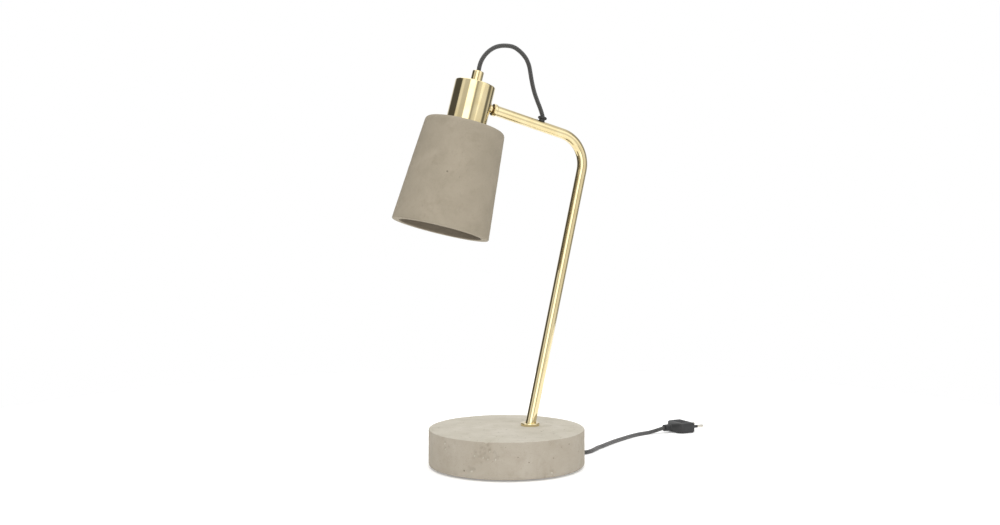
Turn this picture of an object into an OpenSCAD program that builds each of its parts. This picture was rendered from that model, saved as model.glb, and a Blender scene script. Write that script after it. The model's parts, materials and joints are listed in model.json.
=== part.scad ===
// Table lamp: a cast concrete foot and shade on a bent brass tube.
// Millimetres, Z up, origin at the middle of the foot's underside, arm in the XZ plane, head towards -X.

/* [Foot] */
// Diameter of the concrete foot
base_d = 180; // [150:1:220]
// Height of the foot above the table
base_h = 44; // [42:0.5:60]
// Rounding of the foot's top and bottom edges
base_edge = 3; // [1:0.5:5]
// Thickness of the felt pad under the foot
felt_t = 2; // [1:0.5:3]
// Thickness of the steel plate that closes the foot
plate_t = 2; // [1:0.5:3]
// Radius of the hollow inside the foot
cavity_r = 34; // [30:1:40]
// Concrete left above the hollow
roof_t = 14; // [12:0.5:18]
// Height of the cord's outlet above the table
outlet_z = 15; // [14:0.5:18]
// Direction of the cord's outlet, from +X towards +Y
outlet_az = 30; // [20:1:40]

/* [Stem and arm] */
// Outer diameter of the brass tube
tube_d = 12; // [10:0.5:16]
// Wall of the brass tube
tube_wall = 1; // [0.8:0.1:1.5]
// Distance of the stem's foot from the middle of the lamp's foot
stem_x = 31; // [24:1:40]
// Lean of the stem, away from the head
stem_lean = 13; // [8:0.5:18]
// Length of the stem, up to the corner where its axis meets the arm's
stem_len = 340; // [260:1:420]
// Length of the arm, from that corner to the axis of the cup
arm_len = 158; // [130:1:200]
// Rise of the arm towards the head, which is also the head's tilt
arm_rise = 15; // [8:0.5:20]
// Radius of the bend, at the middle of the tube
bend_r = 36; // [30:1:50]
// Diameter of the collar that carries the stem
collar_d = 22; // [18:0.5:28]
// Height of the collar above the foot
collar_h = 3.5; // [2:0.5:6]
// Place of the cord's grommet, measured back along the arm from the cup's axis
grommet_at = 92.5; // [70:0.5:96]

/* [Head joint] */
// Diameter of the ring on the end of the arm
ring_d = 14; // [13:0.5:18]
// Length of that ring
ring_len = 4.5; // [3:0.5:8]
// Diameter of the saddle between ring and cup
saddle_d = 9; // [8:0.5:12]
// Length of the saddle and its washer, from the cup to the ring
saddle_len = 5; // [4:0.5:8]
// Diameter of the pivot screw
pivot_d = 6; // [5:0.5:6]

/* [Cup] */
// Outer diameter of the brass cup
cup_d = 46; // [46:0.5:56]
// Wall of the cup
cup_wall = 1.2; // [0.8:0.1:1.2]
// Height of the cup
cup_h = 48; // [46:0.5:60]
// Height of the cup's top above the axis of the arm
cup_up = 21.5; // [20:0.5:26]
// Diameter of the cord grip on top of the cup
nipple_d = 13; // [12:0.5:18]
// Height of the cord grip
nipple_h = 14.5; // [12:0.5:20]

/* [Shade] */
// Outer diameter of the shade at its top
shade_top_d = 91; // [80:0.5:110]
// Outer diameter of the shade at its mouth
shade_mouth_d = 111; // [104:1:134]
// Height of the shade
shade_h = 121.5; // [108:0.5:150]
// Wall of the shade
shade_wall = 9; // [6:0.5:11]
// Thickness of the shade's closed top
shade_top_t = 10; // [7:0.5:12]
// Rounding of the shade's top edge
shade_edge = 5; // [2:0.5:7]

/* [Lampholder] */
// Diameter of the lampholder's threaded skirt
holder_d = 39.8; // [39:0.1:40]
// Inside diameter of the screw shell for an E27 bulb
shell_d = 26.6; // [26.5:0.05:26.8]
// Outer diameter of the ring that clamps the shade
shade_ring_d = 54; // [50:1:62]

/* [Cord] */
// Diameter of the textile cord
cord_d = 5; // [5]
// Diameter of the coil at the middle of its turns
coil_mid_d = 55; // [50:1:60]

/* [Switch and plug] */
// Length of the switch in the cord
switch_l = 62; // [62:1:70]
// Width of the switch
switch_w = 26; // [24:1:30]
// Height of the switch
switch_h = 19; // [18:0.5:22]
// Travel of the rocker from off to on, in degrees
rocker_travel = 16; // [10:1:20]
// Width of the plug's body
plug_w = 35; // [34:0.5:37]
// Thickness of the plug's body
plug_t = 13.7; // [13:0.1:14.5]

/* [Hidden] */
$fn = 64;

// Running clearance between a pin and its bore, on the radius
fit = 0.05;
// Gap between parts that are put together loosely
slack = 0.3;
// Overlength of a cutting shape
cut = 1;

base_r = base_d / 2;
tube_r = tube_d / 2;
bore_r = tube_r - tube_wall;
cord_r = cord_d / 2;
cup_r = cup_d / 2;
cup_in_r = cup_r - cup_wall;
turn = 90 + stem_lean - arm_rise;
bend_reach = bend_r * tan(turn / 2);
stem_straight = stem_len - bend_reach;
collar_top = base_h + collar_h;
head_x = stem_x + stem_len * sin(stem_lean) - arm_len * cos(arm_rise);
head_z = base_h + stem_len * cos(stem_lean) + arm_len * sin(arm_rise);

// How far the straight tube reaches into the bend, and how much thinner the bend is
lap = 1;
bend_step = 0.05;

// Grommet, measured from the arm's axis
grommet_hole_r = 3.6;
grommet_rim_r = 5.2;
grommet_rim_t = 2.6;
grommet_top = tube_r + 5;
grommet_z = arm_len - bend_reach - grommet_at;

// Foot
plate_z = felt_t;
roof_z = base_h - roof_t;
plate_r = base_r - 10;
insert_r = 3.5;
insert_len = 10;
base_screw_at = base_r - 20;
base_screw_az = [100, 180, 260];
stud_d = 10;
stud_r = stud_d / 2;
stud_bore_r = 3.4;
spigot_r = 8;
spigot_len = 10;
washer_t = 1.6;
washer_r = 14;
spring_t = 1.4;
spring_r = 9;
nut_h = 6;
nut_af = 17;
stud_end_z = roof_z - washer_t - spring_t - nut_h - 3;
clamp_at = [44.5, 20];
clamp_az = 50;
clamp_z = plate_z + plate_t;
clamp_cord_z = 8.5;

// Cord outlet
outlet_r = 5;
outlet_in = 16;
outlet_mouth = 10;
outlet_flange_r = 6.8;
outlet_flange_t = 2.5;
outlet_out = 24;

// Head joint, measured along the arm's axis from the cup's axis
pivot_r = pivot_d / 2;
ring_face = cup_r + saddle_len;
ring_back = ring_face + ring_len;
ring_spigot = 15;
washer_face = 0.8;
inner_saddle_face = cup_in_r - 2.4;
inner_saddle_r = 6;
wave_t = 0.6;
screw_head_h = 3.2;
screw_head_r = 4.8;
arm_straight = arm_len - bend_reach - ring_back;

// Head, measured along the cup's axis from the arm's axis
cup_top = cup_up;
cup_bottom = cup_up - cup_h;
cup_top_t = 1.5;
gasket_t = 0.5;
shade_top = cup_bottom - gasket_t;
shade_bottom = shade_top - shade_h;
shade_in_top = shade_top - shade_top_t;
nipple_top = cup_top + nipple_h;
nipple_roof = 5;
thread_top = nipple_top - nipple_roof;
cup_washer_t = 0.8;
cup_nut_h = 4;
holder_r = holder_d / 2;
shell_r = shell_d / 2;
shell_t = 0.4;
shell_thread_l = 13.3;
cap_top = cup_bottom + 12.5;
cap_bottom = cup_bottom - 6;
cap_r = holder_r - 0.5;
cap_wall = 2;
cap_neck_r = 8;
skirt_bottom = cap_bottom - 36;
skirt_wall = 2.4;
insert_top = cap_bottom - 8;
insert_h = 10;
insert_outer_r = holder_r - skirt_wall - 0.1;
shell_top = insert_top - insert_h + 2;
shell_bottom = skirt_bottom + 2.5;
thread_bottom = cap_top - 5;
shade_ring_h = 8;
terminal_at = 11;

// Switch and plug
switch_at = [76, 167.5];
switch_az = 153;
switch_split = 9;
switch_wall = 1.8;
rocker_l = 20;
rocker_w = 11;
rocker_pin_r = 1.2;
rocker_z = switch_h - 3.2;
plug_at = [280, 87];
plug_axis_z = plug_t / 2;
plug_l = 37;
plug_neck_l = 9;
plug_pin_gap = 18.6;
plug_pin_r = 2;
plug_root_r = 2.4;
plug_root_l = 6;
plug_pin_l = 19;
plug_sleeve_r = 1.5;
plug_sleeve_l = 9.5;

// Cord
coil_at = [64, 113];
coil_rows = 2;
coil_cols = 4;
coil_rise = 4.3;
coil_in_r = coil_mid_d / 2 - coil_cols * cord_r;
coil_out_r = coil_mid_d / 2 + coil_cols * cord_r;
coil_h = cord_d + (coil_rows - 1) * coil_rise;

// From the strain relief round to the switch
lead_route = [
    [99, 57, 15], [108, 62, 14], [117, 69, 11], [125, 78, 7], [131, 89, 4],
    [134, 101, 2.5], [134, 114, 2.5], [130, 127, 2.5], [123, 138, 4], [114, 147, 7], [104, 153, 9]];
// From the switch to the coil
link_route = [
    [48, 182, 9], [38, 186, 6], [27, 188, 3], [15, 186, 2.5], [5, 179, 2.5], [0, 168, 2.5],
    [-5, 157, 2.5], [-10, 146, 2.5], [-12, 134, 2.5], [-9, 121, 2.5], [0, 111, 2.5],
    [12, 104, 2.5], [24, 97, 2.5], [36, 90, 2.5], [48, 82, 2.5]];
// From the coil past the foot and out to the plug
tail_route = [
    [49, 84, 7], [61, 76, 7.5], [71, 65, 6], [79, 54, 4], [85, 43, 2.5], [89, 32, 2.5], [92, 24, 2.5],
    [97, 18, 2.5], [104, 14, 2.5], [111, 13, 2.5], [118, 14, 2.5], [126, 18, 2.5], [135, 25, 2.5],
    [144, 32, 2.5], [154, 38, 2.5], [166, 46, 2.5], [180, 55, 2.5], [194, 63, 2.5], [209, 71, 2.5],
    [225, 79, 2.5], [241, 85, 2.5], [256, 88, 2.5], [269, 88, 4.5], [280, 87, 6.85]];
// The loop from the cord grip over to the arm, in the arm's plane: X and Z
loop_route = [
    [-35.8, 451.1], [-33.5, 460], [-29, 468], [-22, 475], [-13, 480], [-2, 482], [9, 481], [18, 476],
    [25, 469], [29, 461], [31, 452], [33, 442], [36, 431], [40, 421], [44, 412], [47, 403]];
// Inside the foot, from the outlet through the clamp up into the stud
base_route = [
    [64, 37, 15], [58, 33.3, 14.5], [52, 29, 13], [48.3, 24.6, 10.2], [44.5, 20, 8.5], [41, 15.8, 8.5],
    [37, 10, 9.5], [33.2, 4, 12], [31.3, 0.6, 16.5], [31, 0, 21]];

function unit(v) = v / norm(v);
function along(p, i) = unit(p[min(i + 1, len(p) - 1)] - p[max(i - 1, 0)]);
function turned(side, t) = unit(side - (side * t) * t);
function sides_of(p, i = 0, side = [0, 0, 1]) =
    let (t = along(p, i), s0 = i == 0 && abs(t.z) > 0.9 ? [1, 0, 0] : side, s = turned(s0, t))
    i == len(p) - 1 ? [s] : concat([s], sides_of(p, i + 1, s));

// Solid round bar that follows a list of points
module swept(p, r, facets = 8) {
    side = sides_of(p);
    n = len(p);
    pts = [for (i = [0:n - 1]) let (t = along(p, i), s = side[i], b = cross(t, s))
        for (k = [0:facets - 1]) let (a = 360 * (k + 0.5) / facets)
            p[i] + r / cos(180 / facets) * (cos(a) * s + sin(a) * b)];
    walls = [for (i = [0:n - 2]) for (k = [0:facets - 1]) let (k2 = (k + 1) % facets)
        [i * facets + k, (i + 1) * facets + k, (i + 1) * facets + k2, i * facets + k2]];
    first = [for (k = [0:facets - 1]) k];
    last = [for (k = [facets - 1:-1:0]) (n - 1) * facets + k];
    polyhedron(pts, concat(walls, [first, last]), convexity = 6);
}

// Points on a round edge, from the direction a0 to a1
function arc(c, r, a0, a1, n = 6) = [for (i = [0:n]) let (a = a0 + (a1 - a0) * i / n) c + r * [cos(a), sin(a)]];

module tube(r_out, r_in, h) {
    difference() {
        cylinder(r = r_out, h = h);
        translate([0, 0, -cut]) cylinder(r = r_in, h = h + 2 * cut);
    }
}

module hex_nut(af, r_in, h) {
    difference() {
        cylinder(r = af / 2 / cos(30), h = h, $fn = 6);
        translate([0, 0, -cut]) cylinder(r = r_in, h = h + 2 * cut);
    }
}

// Frames: the stem's foot, the start of the arm after the bend, the head and the pivot axis
module in_stem() { translate([stem_x, 0, base_h]) rotate([0, stem_lean, 0]) children(); }
module in_bend() { in_stem() translate([-bend_r, 0, stem_straight]) children(); }
module in_arm() { in_bend() rotate([0, -turn, 0]) translate([bend_r, 0, 0]) children(); }
module in_head() { translate([head_x, 0, head_z]) rotate([0, arm_rise, 0]) children(); }
module on_pivot(x) { in_head() translate([x, 0, 0]) rotate([0, 90, 0]) children(); }
module at_outlet(x) { rotate([0, 0, outlet_az]) translate([base_r + x, 0, outlet_z]) rotate([0, 90, 0]) children(); }
module in_clamp() { translate([clamp_at.x, clamp_at.y, clamp_z]) rotate([0, 0, clamp_az]) children(); }
module in_switch() { translate([switch_at.x, switch_at.y, 0]) rotate([0, 0, switch_az]) children(); }
module in_plug() { translate([plug_at.x, plug_at.y, plug_axis_z]) children(); }
module at_base_screws() {
    for (a = base_screw_az) rotate([0, 0, a]) translate([base_screw_at, 0, 0]) children();
}

// ---- Foot ----
module base_body() {
    lift = felt_t;
    color("#bdb6a4") difference() {
        rotate_extrude($fn = 96) polygon(concat(
            [[0, lift]],
            arc([base_r - base_edge, lift + base_edge], base_edge, -90, 0),
            arc([base_r - base_edge, base_h - base_edge], base_edge, 0, 90),
            [[0, base_h]]));
        translate([0, 0, lift - cut]) cylinder(r = plate_r, h = plate_t + cut);
        translate([stem_x, 0, lift]) cylinder(r = cavity_r, h = roof_z - lift);
        translate([stem_x, 0, 0]) cylinder(r = stud_r + slack, h = base_h + cut);
        translate([stem_x, 0, base_h - spigot_len - slack]) cylinder(r = spigot_r + slack, h = base_h);
        rotate([0, 0, outlet_az]) translate([stem_x, 0, outlet_z]) rotate([0, 90, 0])
            cylinder(r = outlet_r, h = base_r);
        at_outlet(-outlet_in - 2 * outlet_mouth) cylinder(r1 = outlet_r + 3, r2 = outlet_r, h = outlet_mouth);
        at_base_screws() cylinder(r = insert_r, h = plate_z + plate_t + insert_len);
    }
}

module base_inserts() {
    color("#c9a24a") at_base_screws() translate([0, 0, plate_z + plate_t]) tube(insert_r, 2 + fit, insert_len);
}

module base_plate() {
    color("#8d9092") difference() {
        translate([0, 0, plate_z]) cylinder(r = plate_r - slack, h = plate_t);
        at_base_screws() cylinder(r = 2.2, h = base_h);
        at_base_screws() translate([0, 0, plate_z - fit]) cylinder(r1 = 4.2, r2 = 2.2, h = 2);
        in_clamp() for (s = [-1, 1]) translate([0, s * 8, -plate_t - cut]) cylinder(r = 1.5 + fit, h = plate_t + 2 * cut);
    }
}

module base_screws() {
    color("#b8bbbd") at_base_screws() translate([0, 0, plate_z]) {
        cylinder(r1 = 4, r2 = 2, h = 1.9);
        cylinder(r = 2, h = plate_t + insert_len - 2);
    }
}

module felt_pad() {
    color("#3a3a3c") cylinder(r = plate_r - 2, h = felt_t);
}

module stem_collar() {
    color("#d9bd79") translate([stem_x, 0, 0]) difference() {
        rotate_extrude() polygon([
            [0, base_h - spigot_len], [spigot_r, base_h - spigot_len], [spigot_r, base_h],
            [collar_d / 2, base_h], [collar_d / 2, collar_top - 1], [collar_d / 2 - 1, collar_top], [0, collar_top]]);
        translate([0, 0, base_h - spigot_len - cut]) cylinder(r = stud_r, h = spigot_len + cut);
        cylinder(r = stud_bore_r, h = collar_top + cut);
    }
}

module stem_stud() {
    color("#c9a24a") translate([stem_x, 0, stud_end_z]) tube(stud_r, stud_bore_r, base_h - stud_end_z);
}

module base_washer() {
    color("#b8bbbd") translate([stem_x, 0, roof_z - washer_t]) tube(washer_r, stud_r + slack, washer_t);
}

module spring_washer() {
    color("#9a9da0") translate([stem_x, 0, roof_z - washer_t - spring_t]) difference() {
        tube(spring_r, stud_r + slack, spring_t);
        translate([0, -0.6, -cut]) cube([spring_r + cut, 1.2, spring_t + 2 * cut]);
    }
}

module base_nut() {
    color("#c9a24a") translate([stem_x, 0, roof_z - washer_t - spring_t - nut_h]) hex_nut(nut_af, stud_r, nut_h);
}

module strain_relief() {
    nose = outlet_out - outlet_flange_t;
    color("#2e2e30") at_outlet(0) difference() {
        union() {
            translate([0, 0, -outlet_in]) cylinder(r = outlet_r, h = outlet_in);
            cylinder(r = outlet_flange_r, h = outlet_flange_t);
            translate([0, 0, outlet_flange_t]) cylinder(r1 = outlet_r - 0.2, r2 = cord_r + 0.9, h = nose, $fn = 48);
        }
        translate([0, 0, -outlet_in - cut]) cylinder(r = cord_r, h = outlet_in + outlet_out + 2 * cut);
        for (i = [0:3]) translate([0, 0, outlet_flange_t + 4 + 4.4 * i]) tube(outlet_r + cut, 3.9 - 0.22 * i, 1.6);
    }
}

module cord_clamp() {
    color("#e8e4d8") in_clamp() difference() {
        translate([-4, -12, 0]) cube([8, 24, 8]);
        translate([-4 - cut, 0, clamp_cord_z - clamp_z]) rotate([0, 90, 0]) cylinder(r = cord_r, h = 8 + 2 * cut);
        for (s = [-1, 1]) translate([0, s * 8, -cut]) cylinder(r = 1.5 + fit, h = 8 + 2 * cut);
    }
}

module clamp_screws() {
    color("#b8bbbd") in_clamp() for (s = [-1, 1]) translate([0, s * 8, 0]) {
        translate([0, 0, -plate_t]) cylinder(r = 1.5, h = 8 + plate_t);
        translate([0, 0, 8]) cylinder(r = 2.8, h = 2);
    }
}

module base_cord() {
    color("#46464a") {
        swept(base_route, cord_r, 10);
        at_outlet(-outlet_in - 16) cylinder(r = cord_r, h = outlet_in + 16 + outlet_out);
    }
}

// ---- Stem and arm ----
// Stem and arm as straight bars, with the bend between them a hair thinner so that their skins never coincide
module bent_bar(r, stem_from, arm_to) {
    in_stem() translate([0, 0, stem_from]) cylinder(r = r, h = stem_straight - stem_from + lap);
    in_bend() rotate([90, 0, 0]) rotate_extrude(angle = turn, $fn = 96)
        translate([bend_r, 0]) circle(r = r - bend_step);
    in_arm() translate([0, 0, -lap]) cylinder(r = r, h = arm_to + lap);
}

module stem_tube() {
    color("#d9bd79") difference() {
        bent_bar(tube_r, 0, arm_straight);
        bent_bar(bore_r, -cut, arm_straight + cut);
        translate([stem_x - tube_d, -tube_d, base_h - tube_d]) cube([3 * tube_d, 2 * tube_d, tube_d + collar_h]);
        in_arm() translate([0, 0, grommet_z]) rotate([0, 90, 0]) cylinder(r = grommet_hole_r, h = tube_d);
    }
}

module stem_cord() {
    color("#46464a") {
        translate([stem_x, 0, stud_end_z + 2]) cylinder(r = cord_r, h = collar_top - stud_end_z);
        bent_bar(cord_r, 1, grommet_z + cord_r);
        in_arm() translate([0, 0, grommet_z]) rotate([0, 90, 0])
            cylinder(r = cord_r - bend_step, h = grommet_top);
    }
}

module arm_grommet() {
    rim_z = grommet_top - grommet_rim_t;
    color("#1d1d1f") in_head() translate([grommet_at, 0, 0]) difference() {
        rotate_extrude() polygon(concat(
            [[0, bore_r - 1.6], [grommet_hole_r - 0.2, bore_r - 1.6], [grommet_hole_r - 0.2, rim_z]],
            arc([grommet_rim_r - grommet_rim_t / 2, rim_z + grommet_rim_t / 2], grommet_rim_t / 2, -90, 90),
            [[0, grommet_top]]));
        cylinder(r = cord_r, h = 2 * tube_d);
    }
}

// ---- Head joint ----
module arm_ring() {
    color("#d9bd79") on_pivot(ring_face) difference() {
        union() {
            rotate_extrude() polygon([[0, 0], [ring_d / 2 - 0.5, 0], [ring_d / 2, 0.5],
                [ring_d / 2, ring_len - 1], [tube_r, ring_len], [0, ring_len]]);
            cylinder(r = bore_r, h = ring_len + ring_spigot);
        }
        translate([0, 0, -cut]) cylinder(r = pivot_r, h = ring_len + ring_spigot + 2 * cut);
    }
}

module friction_washer() {
    color("#6d5a3c") on_pivot(ring_face - washer_face) tube(saddle_d / 2, pivot_r + fit, washer_face);
}

module pivot_screw() {
    tail = ring_back + ring_spigot - 3;
    head = inner_saddle_face - wave_t;
    color("#b8bbbd") on_pivot(0) difference() {
        union() {
            translate([0, 0, head - screw_head_h]) cylinder(r = screw_head_r, h = screw_head_h);
            translate([0, 0, head - cut]) cylinder(r = pivot_r, h = tail - head + cut);
        }
        translate([0, 0, head - screw_head_h - cut]) cylinder(r = 2, h = 2 + cut, $fn = 6);
    }
}

module wave_washer() {
    color("#9a9da0") on_pivot(inner_saddle_face - wave_t) tube(screw_head_r, pivot_r + fit, wave_t);
}

module outer_saddle() {
    color("#d9bd79") difference() {
        on_pivot(0) tube(saddle_d / 2, pivot_r + fit, ring_face - washer_face);
        in_head() translate([0, 0, -cup_h]) cylinder(r = cup_r, h = 2 * cup_h);
    }
}

module inner_saddle() {
    color("#c9a24a") intersection() {
        on_pivot(inner_saddle_face) tube(inner_saddle_r, pivot_r + fit, cup_wall * 4);
        in_head() translate([0, 0, -cup_h]) cylinder(r = cup_in_r, h = 2 * cup_h);
    }
}

// ---- Cup ----
module socket_cup() {
    color("#e0c583") difference() {
        in_head() difference() {
            translate([0, 0, cup_bottom]) cylinder(r = cup_r, h = cup_h, $fn = 96);
            translate([0, 0, cup_bottom - cut]) cylinder(r = cup_in_r, h = cup_h - cup_top_t + cut, $fn = 96);
            cylinder(r = stud_r + fit, h = cup_h);
        }
        on_pivot(0) cylinder(r = pivot_r + fit, h = cup_d);
    }
}

module cord_nipple() {
    grip_z = nipple_top - nipple_roof / 2;
    color("#e0c583") in_head() difference() {
        rotate_extrude() polygon([[0, cup_top], [nipple_d / 2, cup_top], [nipple_d / 2, nipple_top - 0.6],
            [nipple_d / 2 - 0.6, nipple_top], [0, nipple_top]]);
        translate([0, 0, cup_top - cut]) cylinder(r = stud_r, h = thread_top - cup_top + cut);
        cylinder(r = cord_r, h = nipple_top + cut);
        translate([0, 0, grip_z]) rotate([-90, 0, 0]) cylinder(r = 1.5, h = nipple_d);
    }
}

module grip_screw() {
    grip_z = nipple_top - nipple_roof / 2;
    color("#c9a24a") in_head() translate([0, cord_r, grip_z]) rotate([-90, 0, 0]) difference() {
        cylinder(r = 1.5, h = nipple_d / 2 - cord_r - 0.4);
        translate([-0.3, -2, nipple_d / 2 - cord_r - 1.2]) cube([0.6, 4, 2]);
    }
}

module threaded_tube() {
    color("#c9a24a") in_head() translate([0, 0, thread_bottom]) tube(stud_r, stud_bore_r, thread_top - thread_bottom);
}

module cup_washer() {
    color("#b8bbbd") in_head() translate([0, 0, cup_top - cup_top_t - cup_washer_t])
        tube(8, stud_r + fit, cup_washer_t);
}

module cup_nut() {
    color("#c9a24a") in_head() translate([0, 0, cup_top - cup_top_t - cup_washer_t - cup_nut_h])
        hex_nut(14, stud_r, cup_nut_h);
}

module socket_cord() {
    color("#46464a") in_head() translate([0, 0, thread_bottom]) cylinder(r = cord_r, h = nipple_top - thread_bottom);
}

// ---- Lampholder ----
module holder_cap() {
    outer = [[stud_r, cap_top], [cap_neck_r, cap_top], [cap_neck_r + 5, cap_top - 2.5], [cap_r - 3, cap_top - 7],
        [cap_r, cap_top - 13], [cap_r, cap_bottom]];
    inner = [[cap_r - cap_wall, cap_bottom], [cap_r - cap_wall, cap_top - 13],
        [cap_r - 3 - cap_wall, cap_top - 8.5], [cap_neck_r + 2, cap_top - 5], [stud_r, cap_top - 5]];
    color("#26262a") in_head() rotate_extrude() polygon(concat(outer, inner));
}

module holder_body() {
    mouth_r = shell_r + shell_t + 0.5;
    color("#26262a") in_head() difference() {
        rotate_extrude() polygon(concat(
            [[0, skirt_bottom], [holder_r - 0.8, skirt_bottom], [holder_r, skirt_bottom + 0.8]],
            [for (i = [0:7]) each [
                [holder_r, skirt_bottom + 2 + 2.5 * i], [holder_r - 0.6, skirt_bottom + 3 + 2.5 * i],
                [holder_r, skirt_bottom + 4 + 2.5 * i]]],
            [[holder_r, cap_bottom], [0, cap_bottom]]));
        translate([0, 0, skirt_bottom - cut]) cylinder(r = mouth_r, h = -skirt_bottom);
        translate([0, 0, skirt_bottom + 2.5]) cylinder(r = holder_r - skirt_wall, h = -skirt_bottom);
    }
}

module holder_insert() {
    color("#efece2") in_head() difference() {
        translate([0, 0, insert_top - insert_h]) cylinder(r = insert_outer_r, h = insert_h);
        translate([0, 0, insert_top - insert_h - cut]) cylinder(r = shell_r + shell_t, h = 2 + cut);
        for (s = [-1, 1]) translate([s * terminal_at, 0, insert_top - 6]) cylinder(r = 1.5, h = 7);
        for (s = [-1, 1]) translate([s * terminal_at - 3.2, -3.2, insert_top - 2]) cube([6.4, 6.4, 3]);
    }
}

module screw_shell() {
    color("#c9a24a") in_head() difference() {
        translate([0, 0, shell_bottom]) cylinder(r = shell_r + shell_t, h = shell_top - shell_bottom);
        translate([0, 0, shell_bottom - cut]) cylinder(r = shell_r, h = shell_thread_l + cut);
        translate([0, 0, shell_bottom]) cylinder(r = shell_r - 1.2, h = shell_top - shell_t - shell_bottom);
        translate([0, 0, shell_top - 2]) cylinder(r = 6, h = 4);
    }
}

module centre_contact() {
    contact_z = shell_top - 3.4;
    color("#d6b45c") in_head() {
        translate([-3, -2.5, contact_z]) cube([9, 5, 0.5]);
        translate([-3.5, -2.5, contact_z]) cube([0.5, 5, 3.4]);
        translate([2, 0, contact_z - 0.6]) cylinder(r = 2, h = 0.6);
    }
}

module terminal_screws() {
    color("#b8bbbd") in_head() for (s = [-1, 1]) translate([s * terminal_at, 0, 0]) {
        translate([0, 0, insert_top - 5.5]) cylinder(r = 1.5 - fit, h = 5);
        translate([0, 0, insert_top - 0.5]) cylinder(r = 2.6, h = 1.8);
    }
}

module socket_leads() {
    start_z = thread_bottom - 0.2;
    color("#8a5a3a") in_head() for (s = [-1, 1])
        swept([[s * 1.2, 0, start_z], [s * 1.6, 0.5, start_z - 4], [s * 4, 2, start_z - 8], [s * 7.2, 3.6, insert_top + 4],
            [s * terminal_at, 4.2, insert_top + 0.6]], 1, 8);
}

// ---- Shade ----
module shade_gasket() {
    color("#2e2e30") in_head() translate([0, 0, shade_top]) tube(cup_r - 0.2, holder_r + 0.8, gasket_t);
}

module shade() {
    top_r = shade_top_d / 2;
    mouth_r = shade_mouth_d / 2;
    rim = 2;
    flare = atan((mouth_r - top_r) / shade_h);
    in_top_r = top_r - shade_wall / cos(flare) + shade_top_t * tan(flare);
    in_mouth_r = mouth_r - shade_wall / cos(flare);
    hole_r = holder_r + 0.7;
    in_edge = 6;
    color("#aba28f") in_head() rotate_extrude($fn = 96) polygon(concat(
        [[hole_r, shade_top]],
        arc([top_r - shade_edge, shade_top - shade_edge], shade_edge, 90, flare),
        arc([mouth_r - rim, shade_bottom + rim], rim, flare, -90, 4),
        arc([in_mouth_r + rim, shade_bottom + rim], rim, -90, -180 + flare, 4),
        arc([in_top_r - in_edge, shade_in_top - in_edge], in_edge, flare, 90),
        [[hole_r, shade_in_top]]));
}

module shade_ring() {
    notches = 24;
    color("#26262a") in_head() difference() {
        rotate_extrude() polygon([
            [holder_r + fit, shade_in_top], [shade_ring_d / 2, shade_in_top], [shade_ring_d / 2, shade_in_top - 2],
            [holder_r + 3, shade_in_top - shade_ring_h], [holder_r + fit, shade_in_top - shade_ring_h]]);
        for (i = [0:notches - 1]) rotate([0, 0, 360 / notches * i])
            translate([shade_ring_d / 2, 0, shade_in_top - shade_ring_h]) cylinder(r = 1.2, h = shade_ring_h + cut, $fn = 16);
    }
}

// ---- Cord ----
module loop_cord() {
    color("#46464a") swept([for (p = loop_route) [p.x, 0, p.y]], cord_r, 10);
}

module mains_cord_lead() {
    color("#46464a") swept(lead_route, cord_r);
}

module mains_cord_link() {
    color("#46464a") swept(link_route, cord_r);
}

module mains_cord_coil() {
    color("#46464a") translate([coil_at.x, coil_at.y, 0]) rotate_extrude() polygon(concat(
        arc([coil_out_r - cord_r, cord_r], cord_r, -90, 0),
        arc([coil_out_r - 2 * cord_r, coil_h - cord_r], cord_r, 0, 90),
        arc([coil_in_r + 2 * cord_r, coil_h - cord_r], cord_r, 90, 180),
        arc([coil_in_r + cord_r, cord_r], cord_r, 180, 270)));
}

module mains_cord_tail() {
    color("#46464a") swept(tail_route, cord_r);
}

module coil_tie() {
    tie_t = 0.8;
    tie_w = 6;
    mid = coil_mid_d / 2;
    half = (coil_out_r - coil_in_r) / 2;
    color("#1d1d1f") translate([coil_at.x, coil_at.y, 0]) rotate([0, 0, 150]) translate([mid, 0, 0])
        rotate([90, 0, 0]) translate([0, 0, -tie_w / 2]) linear_extrude(tie_w) difference() {
            translate([-half - slack - tie_t, 0]) square([2 * (half + slack + tie_t), coil_h + slack + tie_t]);
            translate([-half - slack, -cut]) square([2 * (half + slack), coil_h + slack + cut]);
        }
}

// ---- Switch in the cord ----
module pad_outline(l, w, r) {
    square([l - 2 * r, w], center = true);
    square([l, w - 2 * r], center = true);
    for (x = [-1, 1]) for (y = [-1, 1]) translate([x * (l / 2 - r), y * (w / 2 - r)]) circle(r = r);
}

module at_switch_screws() {
    for (s = [-1, 1]) translate([s * (switch_l / 2 - 12), 7, 0]) children();
}

module switch_lower() {
    color("#26262a") in_switch() difference() {
        union() {
            difference() {
                linear_extrude(switch_split) pad_outline(switch_l, switch_w, 8);
                translate([0, 0, switch_wall]) linear_extrude(switch_split)
                    pad_outline(switch_l - 2 * switch_wall, switch_w - 2 * switch_wall, 8 - switch_wall);
            }
            at_switch_screws() translate([0, 0, switch_wall - 0.1]) cylinder(r = 2.6, h = switch_split - switch_wall + 0.1);
        }
        at_switch_screws() translate([0, 0, -cut]) cylinder(r = 1.2 + fit, h = switch_split + 2 * cut);
        translate([-switch_l, 0, switch_split]) rotate([0, 90, 0]) cylinder(r = cord_r, h = 2 * switch_l);
    }
}

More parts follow.
